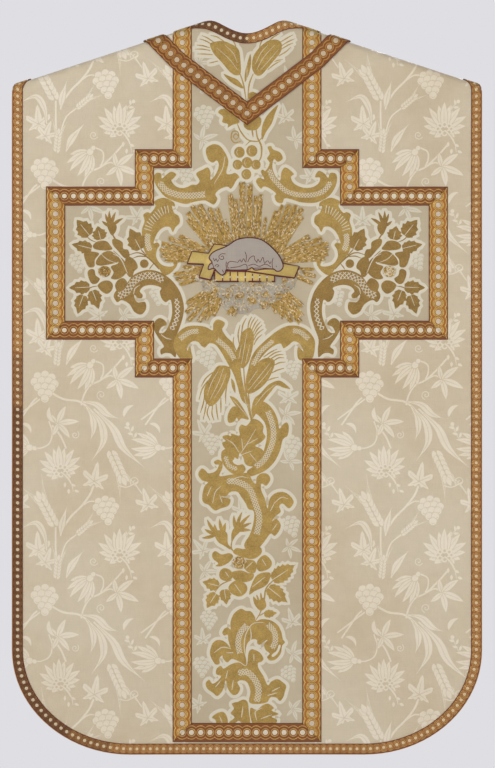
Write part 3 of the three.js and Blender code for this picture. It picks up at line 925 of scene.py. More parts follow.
def silkCloth(name, color, roughness, sheen=0.2, stain=0.3, warp=0.6, weft=0.6, bump=0.00012, shade=0.16):
    material, tree, shader, cloth = newMaterial(name)
    weave = useGroup(tree, weaveGroup, Cloth=cloth, Warp=warp, Weft=weft)
    shaded = mixColor(tree, times(tree, weave.outputs["Shade"], shade * 2), tone(*color),
                      tone(*[v * 0.72 for v in color]))
    aged = useGroup(tree, agingGroup, Cloth=cloth, Color=shaded, Stain=stain)
    tree.links.new(aged.outputs["Color"], shader.inputs["Base Color"])
    rough = plus(tree, times(tree, aged.outputs["Wear"], 0.12), roughness)
    tree.links.new(rough, shader.inputs["Roughness"])
    setSockets(shader, {"Sheen Weight": sheen, "Sheen Roughness": 0.4, "Specular IOR Level": 0.35})
    bumpInto(tree, shader, weave.outputs["Height"], bump)
    return material


# light and dark are the ends of the painted glint highlight and twist shade.
def goldThread(name, light, dark, twist=1.0, metallic=0.75, bump=0.0002):
    material, tree, shader, cloth = newMaterial(name)
    thread = useGroup(tree, metalGroup, Cloth=cloth, Twist=twist, Light=tone(*light), Dark=tone(*dark))
    tree.links.new(thread.outputs["Color"], shader.inputs["Base Color"])
    tree.links.new(thread.outputs["Roughness"], shader.inputs["Roughness"])
    shader.inputs["Metallic"].default_value = metallic
    bumpInto(tree, shader, thread.outputs["Height"], bump)
    return material


def offsetPath(points, distance):
    points = [np.array(p, float) for p in points]
    rows = []
    for k, p in enumerate(points):
        before = unit(p - points[k - 1]) if k else None
        after = unit(points[k + 1] - p) if k + 1 < len(points) else None
        sides = [leftOf(d) for d in (before, after) if d is not None]
        mid = unit(sum(sides))
        rows.append(p + mid * distance / float(mid @ sides[0]))
    return rows


def overSeam(p):
    return float(p[1] - seamLine(p[0]))


# Ends a path exactly on the shoulder seam.
def toSeam(points):
    points = [np.array(p, float) for p in points]
    for _ in range(2):
        while len(points) > 2 and overSeam(points[-2]) >= 0:
            points.pop()
        a, b = points[-2], points[-1]
        points[-1] = a + (b - a) * overSeam(a) / (overSeam(a) - overSeam(b))
        points.reverse()
    return points


def bothHalves(right):
    return [*mirror(right), *right[1 if abs(right[0][0]) < 1e-6 else 0:]]


# Ground, gold and disc colours of each braid set. The upright and level sets are lit and shaded copies of one
# braid: painted sheen makes upright runs lighter and more golden with greyer discs, and level runs browner
# with whiter discs.
braidColors = {
    "upright": ((170, 106, 40), (255, 220, 126), (198, 182, 158)),
    "level": ((132, 76, 32), (250, 202, 114), (214, 200, 174)),
    "band": ((134, 78, 30), (240, 182, 94), (194, 174, 142)),
    "bandDark": ((124, 70, 28), (228, 168, 84), (190, 170, 138)),
    "narrow": ((146, 88, 38), (250, 200, 120), (208, 182, 138)),
    "narrowMiddle": ((122, 73, 34), (208, 158, 92), (204, 181, 143)),
    "narrowDark": ((98, 58, 31), (168, 118, 64), (200, 180, 148)),
}
# Painted shadow: one dark brown silk for the strip along every braid edge.
edgeShadow = silkCloth("braidEdgeShadow", (104, 56, 32), 0.7, 0.1, 0.1, 0.9, 0.5, 0.0001)


def braidMaterials(label):
    ground, gold, pale = braidColors[label]
    return [silkCloth(label + "BraidGround", ground, 0.6, 0.1, 0.2, 0.9, 0.5, 0.0002),
            goldThread(label + "BraidGold", gold, [v * 0.55 for v in gold], 0.9, 0.4),
            silkCloth(label + "BraidDisc", pale, 0.5, 0.15, 0.1, 0.5, 0.5, 0.0001), edgeShadow]


sets = {label: braidMaterials(label) for label in braidColors}
wideMats = [*sets["upright"], *sets["level"]]
bandMats = [*sets["bandDark"], *sets["band"]]
narrowMats = [*sets["narrowDark"], *sets["narrow"], *sets["narrowMiddle"]]


# Painted sheen: upright runs take the lighter upright set, level runs the browner level set.
def paintedSheenByRun(direction, x, z):
    return 0 if abs(direction[1]) > abs(direction[0]) else 1


# Plain layers, each solid from its inner face on.
lining = {"color": (199, 142, 62), "roughness": 0.5, "from": 9.0, "thick": 0.6, "wider": 1.2, "mesh": 12.0}
interlining = {"color": (206, 190, 158), "roughness": 0.8, "from": 9.9, "thick": 1.0, "wider": -1.0,
               "mesh": 12.0}

liningSilk = silkCloth("liningSilk", lining["color"], lining["roughness"], 0.3, 0.25, 0.35, 0.35, 0.00008)
linen = silkCloth("interliningLinen", interlining["color"], interlining["roughness"], 0.1, 0.3, 0.9, 0.9,
                  0.0002)


def plainLayer(name, side, layer, material):
    panel = (backSide(-layer["wider"]), backNeck()) if side < 0 else (frontSide(-layer["wider"]), frontNeck())
    middle = layer["from"] + layer["thick"] / 2
    piece = layCloth(name, side, wholeOutline(*panel), [], middle, [material], layer["mesh"])
    solid = piece.modifiers.new("thickness", "SOLIDIFY")
    solid.thickness = layer["thick"] / 1000
    solid.offset = 0
    solid.use_even_offset = False
    mesh = bpy.data.meshes.new_from_object(piece.evaluated_get(bpy.context.evaluated_depsgraph_get()))
    mesh.name = name
    piece.modifiers.clear()
    piece.data = mesh


plainLayer("backLining", -1, lining, liningSilk)
plainLayer("frontLining", 1, lining, liningSilk)
plainLayer("backInterlining", -1, interlining, linen)
plainLayer("frontInterlining", 1, interlining, linen)
print("linings done")


field = {
    "ground": (204, 190, 163),
    "figure": (215, 204, 182),
    "groundRoughness": 0.62,
    "figureRoughness": 0.36,
}
damaskGround = silkCloth("damaskGround", field["ground"], field["groundRoughness"], 0.25, 0.45, 0.7, 0.35)
damaskFigure = silkCloth("damaskFigure", field["figure"], field["figureRoughness"], 0.35, 0.3, 0.25, 0.8,
                         0.00005, 0.08)
fieldMats = [damaskGround, damaskFigure]
backFoot, frontFoot = cut["foot"] + orphreyInset, cut["frontFoot"] + orphreyInset
backEdge = crossOutline(orphreyInset + seamAllowance / 2, backFoot)
frontColumn = cut["columnHalf"] - orphreyInset - seamAllowance / 2
frontEdge = [(frontColumn, frontFoot), (frontColumn, pastSeam)]


def fieldOutline(rightSide, orphreyEdge):
    hem = rightSide[0][1]
    low = (orphreyEdge[0][0], hem)
    top = (orphreyEdge[-1][0], float(seamLine(orphreyEdge[-1][0])))
    inner = [p for p in orphreyEdge if p[1] < top[1]]
    return np.array([low, *rightSide[1:], top, *inner[::-1]], float)


for panel, side, right in (("back", -1, fieldOutline(backSide(), backEdge)),
                           ("front", 1, fieldOutline(frontSide(), frontEdge))):
    for half, outline in (("Right", right), ("Left", right * [-1, 1])):
        figures = damask(damaskRepeat["from" + half], damaskRepeat["up"], outline)
        layCloth(f"{panel}{half}Field", side, outline, figures, layers["cloth"], fieldMats)
print("damask done")


orphrey = {
    "ground": (189, 175, 147), "figure": (203, 195, 173), "halo": (205, 197, 175),
    "gold": (212, 178, 98), "goldShade": (134, 104, 46),
    "worn": (184, 148, 78), "wornShade": (116, 88, 40),
    "wornBeyond": 135,  # mm from the middle
    "roughness": 0.66,
    "haloWide": 4.8,
    "footRepeat": 612,  # how far up the front the foot scroll comes again
    "figureSize": 1.4,
    "mesh": 7.0,
}


def closed(points, count=5):
    points = [np.array(p, float) for p in points]
    size = len(points)
    return np.array([p for k in range(size)
                     for p in curve(*(points[(k + j) % size] for j in (-1, 0, 1, 2)), count)])


def blob(*points):
    return closed(points, 4)


# A leaf with toothed edges from its stalk to its tip.
def toothed(base, tip, wide, teeth=4):
    base, tip = np.array(base, float), np.array(tip, float)
    along = tip - base
    across = leftOf(along) / norm(along)
    right = []
    for i in range(teeth * 2 + 1):
        t = i / (teeth * 2)
        half = wide / 2 * sin(pi * min(0.08 + t, 1) ** 0.8) ** 0.7
        right.append((t + (0.05 if i % 2 else 0), half * (1.06 if i % 2 else 0.84)))
    left = [(t, -v) for t, v in right[::-1]]
    return np.array([base + along * t + across * v for t, v in [*right[:-1], (1.04, 0), *left[1:]]])


def along(line, u, v):
    x, z, dx, dz = runFrame(line, np.asarray(u, float))
    v = np.asarray(v, float)
    return np.stack([x - v * dz, z + v * dx], 1)


# Crossing pale lines along a scroll, or bars across it.
def lattice(points, wide, cell=5.0, thick=0.9):
    line = through(points, 6)
    length = float(norm(np.diff(line, axis=0), axis=1).sum())
    rows = []
    for start in np.arange(-wide, length, cell):
        for turn in (1, -1):
            u = np.linspace(start, start + wide, 6)
            v = turn * np.linspace(-wide / 2, wide / 2, 6)
            inside = (u >= 0) & (u <= length)
            if inside.sum() > 1:
                rows.append(ribbon(along(line, u[inside], v[inside]), np.full(inside.sum(), thick)))
    return rows


def ladder(points, wide, cell=4.4, thick=1.2):
    line = through(points, 6)
    length = float(norm(np.diff(line, axis=0), axis=1).sum())
    return [ribbon(along(line, [u, u + 1.2], [-wide / 2, wide / 2]), [thick, thick * 0.6])
            for u in np.arange(cell / 2, length, cell)]


def drawn(points, wide):
    line = through(points, 5)
    return ribbon(line, taper(len(line), wide, .7, .5, .5))


def bud(base, tip, wide, bend):
    angle = degrees(atan2(tip[1] - base[1], tip[0] - base[0]))
    return place(leaf(dist(tip, base), wide, bend, False), base, angle)[1][1]


def lines(wide, *paths):
    return [drawn(points, wide) for points in paths]


# The scrolls round the emblem, with the two roses in the arms.
gold = [
    blob((-136,-262), (-122,-256), (-107,-262), (-105,-269), (-109,-268), (-106,-278), (-99,-283), (-98,-293),
        (-104,-299), (-108,-306), (-112,-299), (-121,-299), (-130,-307), (-136,-322), (-131,-321),
        (-127,-325), (-131,-332), (-132,-342), (-126,-352), (-116,-356), (-107,-355), (-108,-348),
        (-104,-345), (-101,-352), (-108,-363), (-120,-369), (-130,-357), (-144,-342), (-151,-328),
        (-153,-304), (-149,-290), (-151,-281), (-145,-277), (-140,-278), (-133,-268)),
    blob((-163,-367), (-146,-361), (-130,-363), (-117,-370), (-106,-380), (-97,-394), (-92,-412), (-93,-428),
        (-98,-445), (-104,-462), (-103,-476), (-104,-488), (-111,-483), (-119,-482), (-125,-484), (-126,-477),
        (-121,-472), (-129,-460), (-136,-446), (-134,-436), (-127,-431), (-119,-435), (-117,-441),
        (-124,-444), (-128,-452), (-121,-452), (-114,-442), (-109,-424), (-111,-405), (-118,-408),
        (-124,-403), (-127,-393), (-125,-387), (-138,-383), (-150,-385), (-156,-392), (-152,-397),
        (-153,-402), (-159,-402), (-164,-397), (-163,-404), (-159,-408), (-155,-408), (-148,-408),
        (-147,-418), (-154,-426), (-164,-422), (-171,-411), (-182,-405), (-189,-408), (-194,-399),
        (-189,-390), (-178,-386), (-171,-375)),
    blob((-224,-325), (-216,-319), (-205,-319), (-199,-325), (-196,-331), (-206,-333), (-221,-331)),
    blob((-196,-317), (-190,-316), (-181,-321), (-180,-330), (-173,-332), (-171,-342), (-178,-344),
        (-188,-333), (-195,-325)),
    blob((-237,-337), (-230,-334), (-215,-337), (-221,-346), (-222,-356), (-230,-357), (-235,-348)),
    blob((-212,-338), (-205,-334), (-197,-334), (-190,-341), (-187,-349), (-200,-353), (-214,-355),
        (-220,-352), (-218,-345)),
    blob((-195,-333), (-186,-340), (-177,-350), (-174,-362), (-181,-371), (-190,-375), (-198,-373),
        (-194,-365), (-198,-356), (-187,-350)),
    blob((-176,-343), (-168,-343), (-161,-350), (-159,-358), (-164,-363), (-167,-371), (-173,-370),
        (-178,-358)),
    blob((-232,-366), (-228,-360), (-222,-361), (-220,-369), (-214,-374), (-219,-381), (-227,-380)),
    blob((-217,-383), (-209,-377), (-200,-377), (-195,-383), (-197,-391), (-204,-396), (-213,-391)),
    blob((-192,-384), (-188,-376), (-180,-373), (-174,-379), (-172,-386), (-179,-391), (-188,-393)),
    toothed((-229,-311), (-247,-289), 25), toothed((-213,-317), (-217,-298), 22),
    toothed((-226,-330), (-254,-324), 19), toothed((-155,-331), (-170,-302), 27),
    toothed((-229,-386), (-258,-387), 20), toothed((-238,-398), (-246,-424), 21),
    toothed((-225,-391), (-216,-417), 21), disc((-149.5,-352), 6.4, 14),
    blob((-203,-295), (-191,-295), (-190,-303), (-196,-311), (-201,-304)),
    drawn([(-197,-308), (-193,-314), (-190,-320)], 2.4),
    *lines(1.6, [(-234,-311), (-228,-317), (-219,-321)], [(-240,-397), (-228,-387), (-214,-384)]),
    drawn([(-128,-360), (-138,-349), (-150,-339), (-160,-336), (-171,-339)], 2.2),
    *lines(1.8, [(-146,-342), (-157,-341), (-166,-344)], [(-136,-352), (-140,-357), (-142,-360)],
        [(-146,-340), (-152,-334), (-155,-330)]),
]
gold += [bud((-197,-298), tip, 4.6, 0.06) for tip in ((-211,-290), (-206,-279), (-200,-275), (-191,-277),
    (-180,-286))]
pale = [
    *ladder([(-112,-272), (-124,-276), (-134,-285), (-142,-295), (-145,-306)], 11),
    *lattice([(-144,-308), (-145,-320), (-141,-334)], 8, 3.4, 0.7),
    *lattice([(-188,-399), (-176,-394), (-165,-378), (-150,-370), (-134,-370), (-121,-377)], 10, 6.0),
    *lattice([(-103,-402), (-101,-418), (-103,-434), (-110,-448)], 7, 6.5, 1.1),
    *lines(0.9, [(-229,-311), (-242,-295)], [(-226,-330), (-246,-325)], [(-155,-331), (-163,-316)],
        [(-229,-386), (-250,-387)], [(-238,-398), (-244,-414)], [(-225,-391), (-219,-406)],
        [(-213,-316), (-216,-304)]),
    drawn([(-196,-333), (-183,-346), (-174,-366)], 1.3),
    *lines(0.9, [(-212,-338), (-203,-346), (-190,-351)], [(-195,-338), (-178,-345)]),
    drawn([(-165,-396), (-163,-388), (-156,-383)], 1.2), drawn([(-125,-455), (-118,-460), (-110,-462)], 1.1),
]
armSide = gold, pale

left = blob((-60,-187), (-56,-181), (-48,-178), (-39,-181), (-31,-192), (-27,-204), (-30,-220), (-24,-222),
    (-17,-220), (-11,-226), (-15,-230), (-20,-239), (-24,-243), (-29,-240), (-40,-244), (-46,-251),
    (-43,-258), (-48,-266), (-55,-263), (-62,-260), (-76,-262), (-90,-265), (-108,-260), (-120,-254),
    (-130,-242), (-136,-228), (-132,-220), (-125,-221), (-124,-228), (-118,-223), (-110,-218), (-103,-222),
    (-107,-228), (-110,-231), (-104,-239), (-95,-242), (-86,-240), (-80,-237), (-73,-237), (-69,-231),
    (-74,-221), (-64,-215), (-57,-212), (-53,-219), (-53,-230), (-45,-221), (-41,-209), (-44,-202),
    (-50,-205), (-57,-200))
right = blob((30,-183), (35,-181), (38,-186), (48,-190), (52,-199), (45,-204), (39,-200), (37,-212),
    (41,-224), (48,-231), (50,-219), (56,-212), (68,-221), (64,-226), (68,-235), (80,-241), (94,-241),
    (104,-235), (106,-227), (99,-226), (104,-217), (113,-221), (118,-227), (121,-220), (130,-222), (130,-236),
    (120,-253), (101,-263), (80,-263), (66,-259), (55,-257), (51,-264), (43,-262), (40,-254), (42,-250),
    (32,-242), (24,-240), (20,-243), (13,-233), (17,-227), (25,-229), (20,-219), (23,-215), (27,-217),
    (33,-206), (29,-199), (33,-192))
pale = [
    *lattice([(-128,-233), (-118,-245), (-100,-252), (-80,-253), (-60,-251)], 9, 4.4, 0.8),
    *lattice([(122,-233), (112,-246), (96,-252), (76,-252), (56,-246), (38,-228), (32,-214)], 7, 4.2, 0.8),
    drawn([(-32,-196), (-36,-215), (-48,-236)], 1.0),
]
upperScrolls = [left, right], pale


# The vine with its grapes under the point of the band, and the ears of corn above it.
twirl = through([(-13,-166), (-16,-163), (-20,-167), (-16,-171), (-12,-167), (-14,-160), (-21,-160),
    (-23,-170), (-18,-176), (-9,-174)], 5)
gold = [
    blob((-42,-132), (-37,-127), (-26,-128), (-14,-140), (-11,-147), (-21,-150), (-28,-154), (-28,-149),
        (-36,-146), (-35,-138)),
    blob((-5,-151), (-2,-142), (10,-136), (20,-140), (20,-150), (14,-157), (6,-158), (0,-157)),
    blob((45,-121), (41,-133), (36,-148), (28,-160), (22,-172), (21,-160), (24,-146), (32,-133)),
    drawn([(-14,-149), (-9,-160), (0,-171), (10,-174)], 2.2), drawn([(7,-156), (9,-168)], 2.4),
    drawn([(13,-156), (15,-168), (21,-182), (20,-198), (13,-207)], 2.6),
    drawn([(22,-168), (16,-174), (5,-174), (-2,-180)], 1.8), ribbon(twirl, np.full(len(twirl), 1.7)),
]
grapesAt = (
    (-11, -190, 8.4), (7, -188, 8.8), (-14, -208, 7.6), (13, -208, 7.6), (0, -205, 8.4), (-1, -222, 8),
)
gold += [disc((x, z), r - 0.7, 18, 1.06) for x, z, r in grapesAt]
pale = [drawn([(x - 2, z - r * 0.5), (x - 4, z), (x - 2, z + r * 0.6)], 0.6) for x, z, r in grapesAt]
gold += [
    blob((-54,-33), (-46,-29), (-35,-28), (-24,-32), (-13,-39), (-10,-52), (-9,-74), (-16,-78), (-25,-73),
        (-36,-60), (-48,-47)),
    blob((22,-34), (30,-28), (42,-26), (50,-31), (49,-44), (38,-58), (28,-70), (20,-78), (12,-77), (7,-66),
        (9,-51), (15,-41)),
    blob((5,-47), (1,-58), (-3,-74), (-3,-88), (2,-78), (6,-62)),
    blob((-34,-76), (-24,-80), (-13,-85), (-5,-97), (-14,-94), (-26,-86)),
    blob((1,-106), (8,-102), (16,-106), (10,-111), (3,-113)),
    *lines(2.2, [(-10,-76), (-5,-92), (-1,-116)], [(9,-76), (3,-92), (1,-116)]),
]
awns = [
    [(-50,-34), (-60,-28), (-69,-25)], [(-54,-38), (-64,-35), (-73,-34)], [(-53,-42), (-64,-40), (-76,-40)],
    [(-50,-48), (-62,-47), (-73,-47)], [(-42,-57), (-50,-59), (-55,-60)], [(-48,-30), (-57,-24), (-66,-20)],
    [(-34,-28), (-44,-22), (-53,-20)], [(-16,-36), (-20,-28), (-26,-22)], [(48,-30), (58,-24), (67,-19)],
    [(50,-35), (60,-29), (69,-25)], [(50,-40), (60,-34), (67,-31)], [(46,-50), (56,-44), (64,-37)],
    [(40,-58), (46,-56), (52,-55)], [(32,-28), (39,-22), (48,-17)], [(18,-38), (21,-29), (28,-21)],
    [(30,-70), (40,-62), (49,-57)],
]
gold += lines(1.8, *awns)
pale += lines(0.7, [(-14,-70), (-26,-54), (-44,-38)], [(-14,-60), (-20,-46), (-32,-34)],
    [(14,-70), (24,-52), (40,-34)], [(20,-70), (34,-54), (46,-40)], [(12,-62), (20,-46), (30,-34)],
    [(0,-104), (0,-60)])
vineTop = gold, pale


gold = [
    blob((-106,-476), (-106,-464), (-100,-452), (-89,-444), (-75,-442), (-60,-444), (-50,-449), (-49,-439),
        (-43,-433), (-33,-437), (-33,-442), (-36,-448), (-30,-458), (-21,-467), (-17,-479), (-9,-494),
        (-9,-508), (-4,-535), (1,-556), (-8,-550), (-14,-530), (-20,-512), (-30,-494), (-38,-480), (-46,-470),
        (-55,-468), (-61,-474), (-67,-471), (-71,-466), (-79,-465), (-86,-471), (-87,-479), (-83,-472),
        (-81,-480), (-80,-492), (-96,-491)),
    blob((99,-472), (97,-460), (88,-449), (76,-443), (62,-442), (50,-446), (38,-454), (24,-466), (13,-477),
        (6,-489), (2,-504), (-2,-522), (0,-534), (6,-514), (14,-498), (24,-485), (34,-475), (48,-468),
        (53,-475), (60,-471), (68,-465), (77,-469), (82,-480), (75,-473), (73,-480), (76,-492), (94,-491)),
    blob((4,-445), (9,-452), (10,-462), (7,-480), (2,-496), (-6,-504), (-13,-498), (-17,-485), (-11,-468),
        (-9,-455), (-3,-448)),
    blob((32,-489), (39,-492), (40,-500), (34,-515), (26,-527), (14,-537), (2,-541), (-3,-530), (4,-514),
        (13,-499), (22,-491)),
    blob((-44,-502), (-36,-500), (-27,-502), (-24,-511), (-27,-524), (-34,-539), (-44,-554), (-54,-559),
        (-62,-549), (-62,-533), (-53,-516)),
    blob((-23,-519), (-18,-526), (-17,-540), (-22,-531)),
    blob((-25,-545), (-15,-549), (-7,-560), (3,-578), (-6,-573), (-16,-560)),
    blob((19,-541), (30,-529), (41,-523), (50,-523), (63,-534), (52,-532), (43,-529), (35,-538), (24,-552),
        (12,-572), (5,-580), (7,-560), (11,-548)),
    *lines(2.4, [(-27,-502), (-18,-510), (-10,-530), (0,-558), (6,-580)],
        [(-5,-500), (-3,-530), (2,-556), (7,-580)], [(2,-540), (4,-560), (9,-580)]),
]
awns = [
    [(-11,-470), (-13,-455), (-10,-441)], [(-8,-454), (-6,-441), (-1,-431)], [(1,-447), (3,-437), (7,-429)],
    [(4,-447), (7,-438), (12,-430)], [(7,-449), (11,-440), (16,-433)], [(9,-452), (14,-443), (20,-436)],
    [(10,-457), (15,-448), (22,-441)], [(10,-463), (15,-454), (24,-447)], [(10,-470), (15,-461), (22,-455)],
    [(-15,-480), (-20,-468), (-19,-458)], [(24,-488), (34,-481), (44,-476)],
    [(30,-489), (40,-482), (50,-479)], [(35,-490), (44,-485), (53,-484)], [(38,-494), (46,-489), (54,-489)],
    [(39,-500), (47,-496), (56,-495)], [(36,-511), (44,-507), (54,-504)], [(30,-522), (37,-519), (46,-517)],
    [(-50,-510), (-60,-519), (-67,-531)], [(-57,-522), (-65,-534), (-70,-550)],
    [(-62,-545), (-64,-557), (-68,-569)], [(-59,-554), (-61,-566), (-64,-579)],
    [(-55,-558), (-58,-569), (-54,-580)], [(-50,-558), (-51,-570), (-48,-580)],
    [(-45,-556), (-44,-567), (-42,-579)], [(-38,-547), (-38,-558), (-38,-569)],
    [(-29,-528), (-31,-541), (-31,-556)],
]
gold += lines(2.0, *awns)
pale = [
    *lattice([(-98,-462), (-84,-452), (-70,-450)], 7, 3.6, 0.7),
    *lattice([(-44,-462), (-28,-476), (-18,-492)], 7, 3.6, 0.7),
    *lattice([(90,-462), (78,-452), (66,-449)], 7, 3.6, 0.7),
    *lattice([(38,-464), (20,-480), (8,-500)], 6, 3.6, 0.7),
    *lines(0.7, [(-8,-498), (-4,-474), (0,-452)], [(-12,-490), (-8,-470)], [(-2,-496), (4,-470)],
        [(2,-536), (18,-516), (34,-496)], [(10,-534), (26,-516), (36,-502)], [(2,-526), (16,-506)],
        [(-34,-504), (-42,-526), (-54,-550)], [(-30,-512), (-38,-532), (-48,-548)],
        [(-42,-508), (-52,-526), (-58,-544)], [(12,-558), (26,-540), (42,-527)],
        [(-20,-550), (-8,-564), (2,-576)], [(4,-556), (8,-578)], [(-4,-545), (4,-576)]),
]
lowerScrolls = gold, pale


# The long scroll down the column, with its buds and the rose.
gold = [
    blob((10,-566), (18,-553), (29,-555), (39,-566), (45,-580), (47,-592), (52,-586), (58,-583), (61,-590),
        (59,-602), (52,-608), (48,-624), (40,-640), (28,-652), (14,-659), (4,-661), (0,-654), (10,-646),
        (20,-634), (26,-618), (29,-600), (26,-584), (18,-574)),
    blob((-27,-583), (-28,-572), (-21,-560), (-12,-562), (-4,-572), (2,-579), (-8,-577), (-12,-581),
        (-15,-576), (-19,-582)),
    blob((-37,-626), (-30,-621), (-22,-622), (-18,-634), (-21,-640), (-14,-645), (-6,-644), (-2,-652),
        (-10,-659), (-22,-657), (-32,-648), (-37,-638)),
    blob((2,-585), (8,-578), (17,-580), (24,-588), (23,-597), (27,-604), (20,-612), (12,-617), (22,-622),
        (25,-631), (20,-641), (9,-647), (-2,-644), (-6,-633), (-11,-628), (-13,-636), (-20,-632), (-27,-625),
        (-34,-619), (-36,-612), (-31,-610), (-36,-604), (-29,-601), (-23,-603), (-23,-599), (-11,-602),
        (-12,-592), (-8,-586), (-2,-588)),
    blob((-48,-640), (-42,-637), (-36,-641), (-36,-650), (-40,-661), (-24,-659), (-8,-657), (2,-657),
        (8,-668), (13,-672), (14,-663), (21,-657), (30,-658), (34,-666), (28,-675), (21,-672), (21,-682),
        (26,-694), (30,-708), (33,-694), (41,-686), (52,-684), (62,-689), (68,-699), (61,-708), (52,-701),
        (47,-705), (49,-713), (42,-719), (36,-727), (43,-723), (49,-732), (46,-742), (40,-748), (34,-745),
        (24,-758), (14,-768), (0,-768), (-4,-760), (4,-746), (9,-730), (10,-713), (2,-709), (-2,-701),
        (-8,-692), (-14,-684), (-24,-684), (-30,-690), (-38,-691), (-30,-693), (-24,-695), (-27,-704),
        (-38,-708), (-47,-711), (-56,-703), (-64,-699), (-65,-688), (-62,-676), (-57,-670), (-66,-667),
        (-71,-658), (-66,-650), (-60,-653), (-56,-657), (-46,-654), (-41,-645), (-46,-644)),
    blob((-48,-742), (-38,-740), (-29,-744), (-28,-758), (-24,-768), (-34,-762), (-43,-756)),
    blob((-22,-742), (-17,-735), (-9,-734), (-11,-743), (-17,-749), (-22,-757), (-23,-750)),
    *lines(2.0, [(-30,-758), (-22,-768), (-14,-776)], [(-21,-752), (-23,-764), (-18,-774)]),
]
budTips = [((-44, -746), tip) for tip in ((-62, -738), (-58, -724), (-47, -731), (-66, -751))]
budTips += [((-34, -746), tip) for tip in ((-40, -723), (-31, -729))]
budTips += [((-15, -741), tip) for tip in ((-19, -718), (-7, -713), (5, -717), (7, -729), (6, -740))]
gold += [bud(base, tip, 5.0, 0.05) for base, tip in budTips]
gold += [
    blob((-51,-775), (-46,-770), (-37,-775), (-26,-773), (-20,-778), (-27,-787), (-37,-792), (-46,-792),
        (-42,-788), (-49,-782)),
    blob((-20,-773), (-16,-766), (-5,-767), (4,-765), (14,-764), (21,-766), (20,-775), (8,-782), (-6,-779)),
    blob((15,-785), (22,-777), (29,-777), (36,-786), (33,-795), (20,-800), (14,-795)),
    blob((-3,-783), (10,-784), (14,-792), (11,-802), (2,-801), (-6,-792)),
    blob((-40,-801), (-34,-795), (-24,-798), (-21,-808), (-29,-814), (-39,-810)),
    blob((-24,-802), (-10,-798), (2,-802), (10,-804), (6,-813), (-10,-816), (-19,-811)),
    blob((-26,-820), (-16,-813), (-2,-818), (0,-828), (-9,-836), (-19,-834), (-26,-828)),
    blob((34,-802), (18,-803), (9,-813), (3,-833), (12,-828), (29,-819)), toothed((-41,-821), (-64,-815), 19),
    toothed((-45,-832), (-58,-852), 20), toothed((-33,-826), (-30,-847), 18),
    toothed((37,-812), (70,-790), 25, 6), toothed((31,-823), (58,-844), 24, 5),
    toothed((25,-862), (43,-860), 12), drawn([(-22,-812), (-38,-819), (-48,-832)], 1.8),
    drawn([(40,-811), (28,-824), (25,-840), (20,-858), (12,-872)], 2.4),
    blob((9,-836), (16,-842), (24,-838), (28,-850), (20,-857), (11,-848)),
    *lines(3, [(18,-845), (14,-834)], [(21,-842), (20,-831)]), drawn([(18,-864), (25,-860)], 1.8),
]
pale = [
    *lattice([(30,-566), (38,-590), (37,-612), (26,-636), (12,-648)], 8, 4.2, 0.8),
    *lattice([(-32,-632), (-26,-646), (-14,-651)], 6, 3.8, 0.7),
    *lattice([(-30,-668), (-12,-670), (4,-680), (12,-700), (18,-722), (14,-746)], 9, 4.2, 0.8),
    *lines(1.0, [(-10,-629), (0,-614), (13,-592)], [(-12,-626), (-20,-614), (-30,-607)],
        [(-8,-630), (8,-624)], [(-2,-616), (16,-606)], [(-6,-622), (-8,-606)], [(4,-628), (14,-640)],
        [(-50,-700), (-46,-684), (-38,-676)], [(-58,-690), (-52,-676)], [(-36,-700), (-40,-688)],
        [(40,-700), (50,-692), (60,-694)], [(34,-712), (40,-700)], [(37,-740), (44,-730)],
        [(37,-812), (60,-797)], [(31,-823), (50,-838)], [(-41,-821), (-57,-817)], [(-45,-832), (-54,-846)],
        [(-33,-826), (-31,-840)], [(8,-786), (-2,-796)], [(22,-782), (28,-792)], [(8,-822), (26,-808)],
        [(-32,-800), (-26,-808)], [(-18,-818), (-8,-832)], [(-26,-668), (-10,-662), (2,-664)]),
]
columnScroll = gold, pale


gold = [
    blob((-36,-889), (-33,-883), (-28,-881), (-24,-884), (-24,-873), (-19,-861), (-9,-854), (-2,-857),
        (6,-858), (12,-867), (12,-872), (22,-869), (35,-871), (45,-878), (50,-888), (52,-898), (55,-903),
        (51,-908), (49,-919), (41,-928), (33,-929), (29,-924), (33,-919), (27,-914), (25,-906), (30,-899),
        (24,-902), (20,-906), (15,-905), (14,-899), (6,-899), (0,-906), (-2,-918), (-1,-936), (-9,-932),
        (-16,-928), (-22,-918), (-27,-900), (-28,-892), (-33,-893)),
    blob((-50,-904), (-45,-900), (-36,-900), (-27,-907), (-21,-919), (-14,-929), (-22,-927), (-29,-932),
        (-35,-926), (-36,-922), (-40,-926), (-40,-934), (-47,-934), (-54,-920), (-52,-909)),
    blob((2,-919), (6,-913), (12,-914), (19,-918), (24,-926), (21,-931), (16,-933), (17,-941), (24,-952),
        (30,-965), (35,-960), (44,-956), (51,-960), (57,-966), (55,-975), (53,-982), (48,-988), (42,-983),
        (34,-983), (27,-991), (4,-991), (5,-974), (0,-961), (-8,-958), (-14,-961), (-10,-970), (-14,-978),
        (-21,-979), (-28,-970), (-31,-958), (-35,-972), (-43,-981), (-50,-976), (-58,-970), (-60,-962),
        (-55,-957), (-50,-963), (-42,-958), (-38,-952), (-45,-949), (-44,-941), (-38,-937), (-34,-941),
        (-24,-935), (-12,-932), (-1,-937)),
    blob((-22,-992), (-13,-989), (-5,-986), (1,-990), (3,-1006), (5,-1025), (-4,-1025), (-12,-1017),
        (-22,-1024), (-26,-1019), (-18,-1012), (-24,-1006), (-19,-999)),
    blob((5,-998), (14,-1001), (23,-994), (31,-992), (39,-998), (36,-1002), (46,-1007), (36,-1011),
        (44,-1016), (36,-1025), (12,-1025), (5,-1012)),
    blob((-51,-1012), (-44,-1006), (-35,-1004), (-29,-1011), (-29,-1025), (-43,-1025), (-46,-1016)),
]
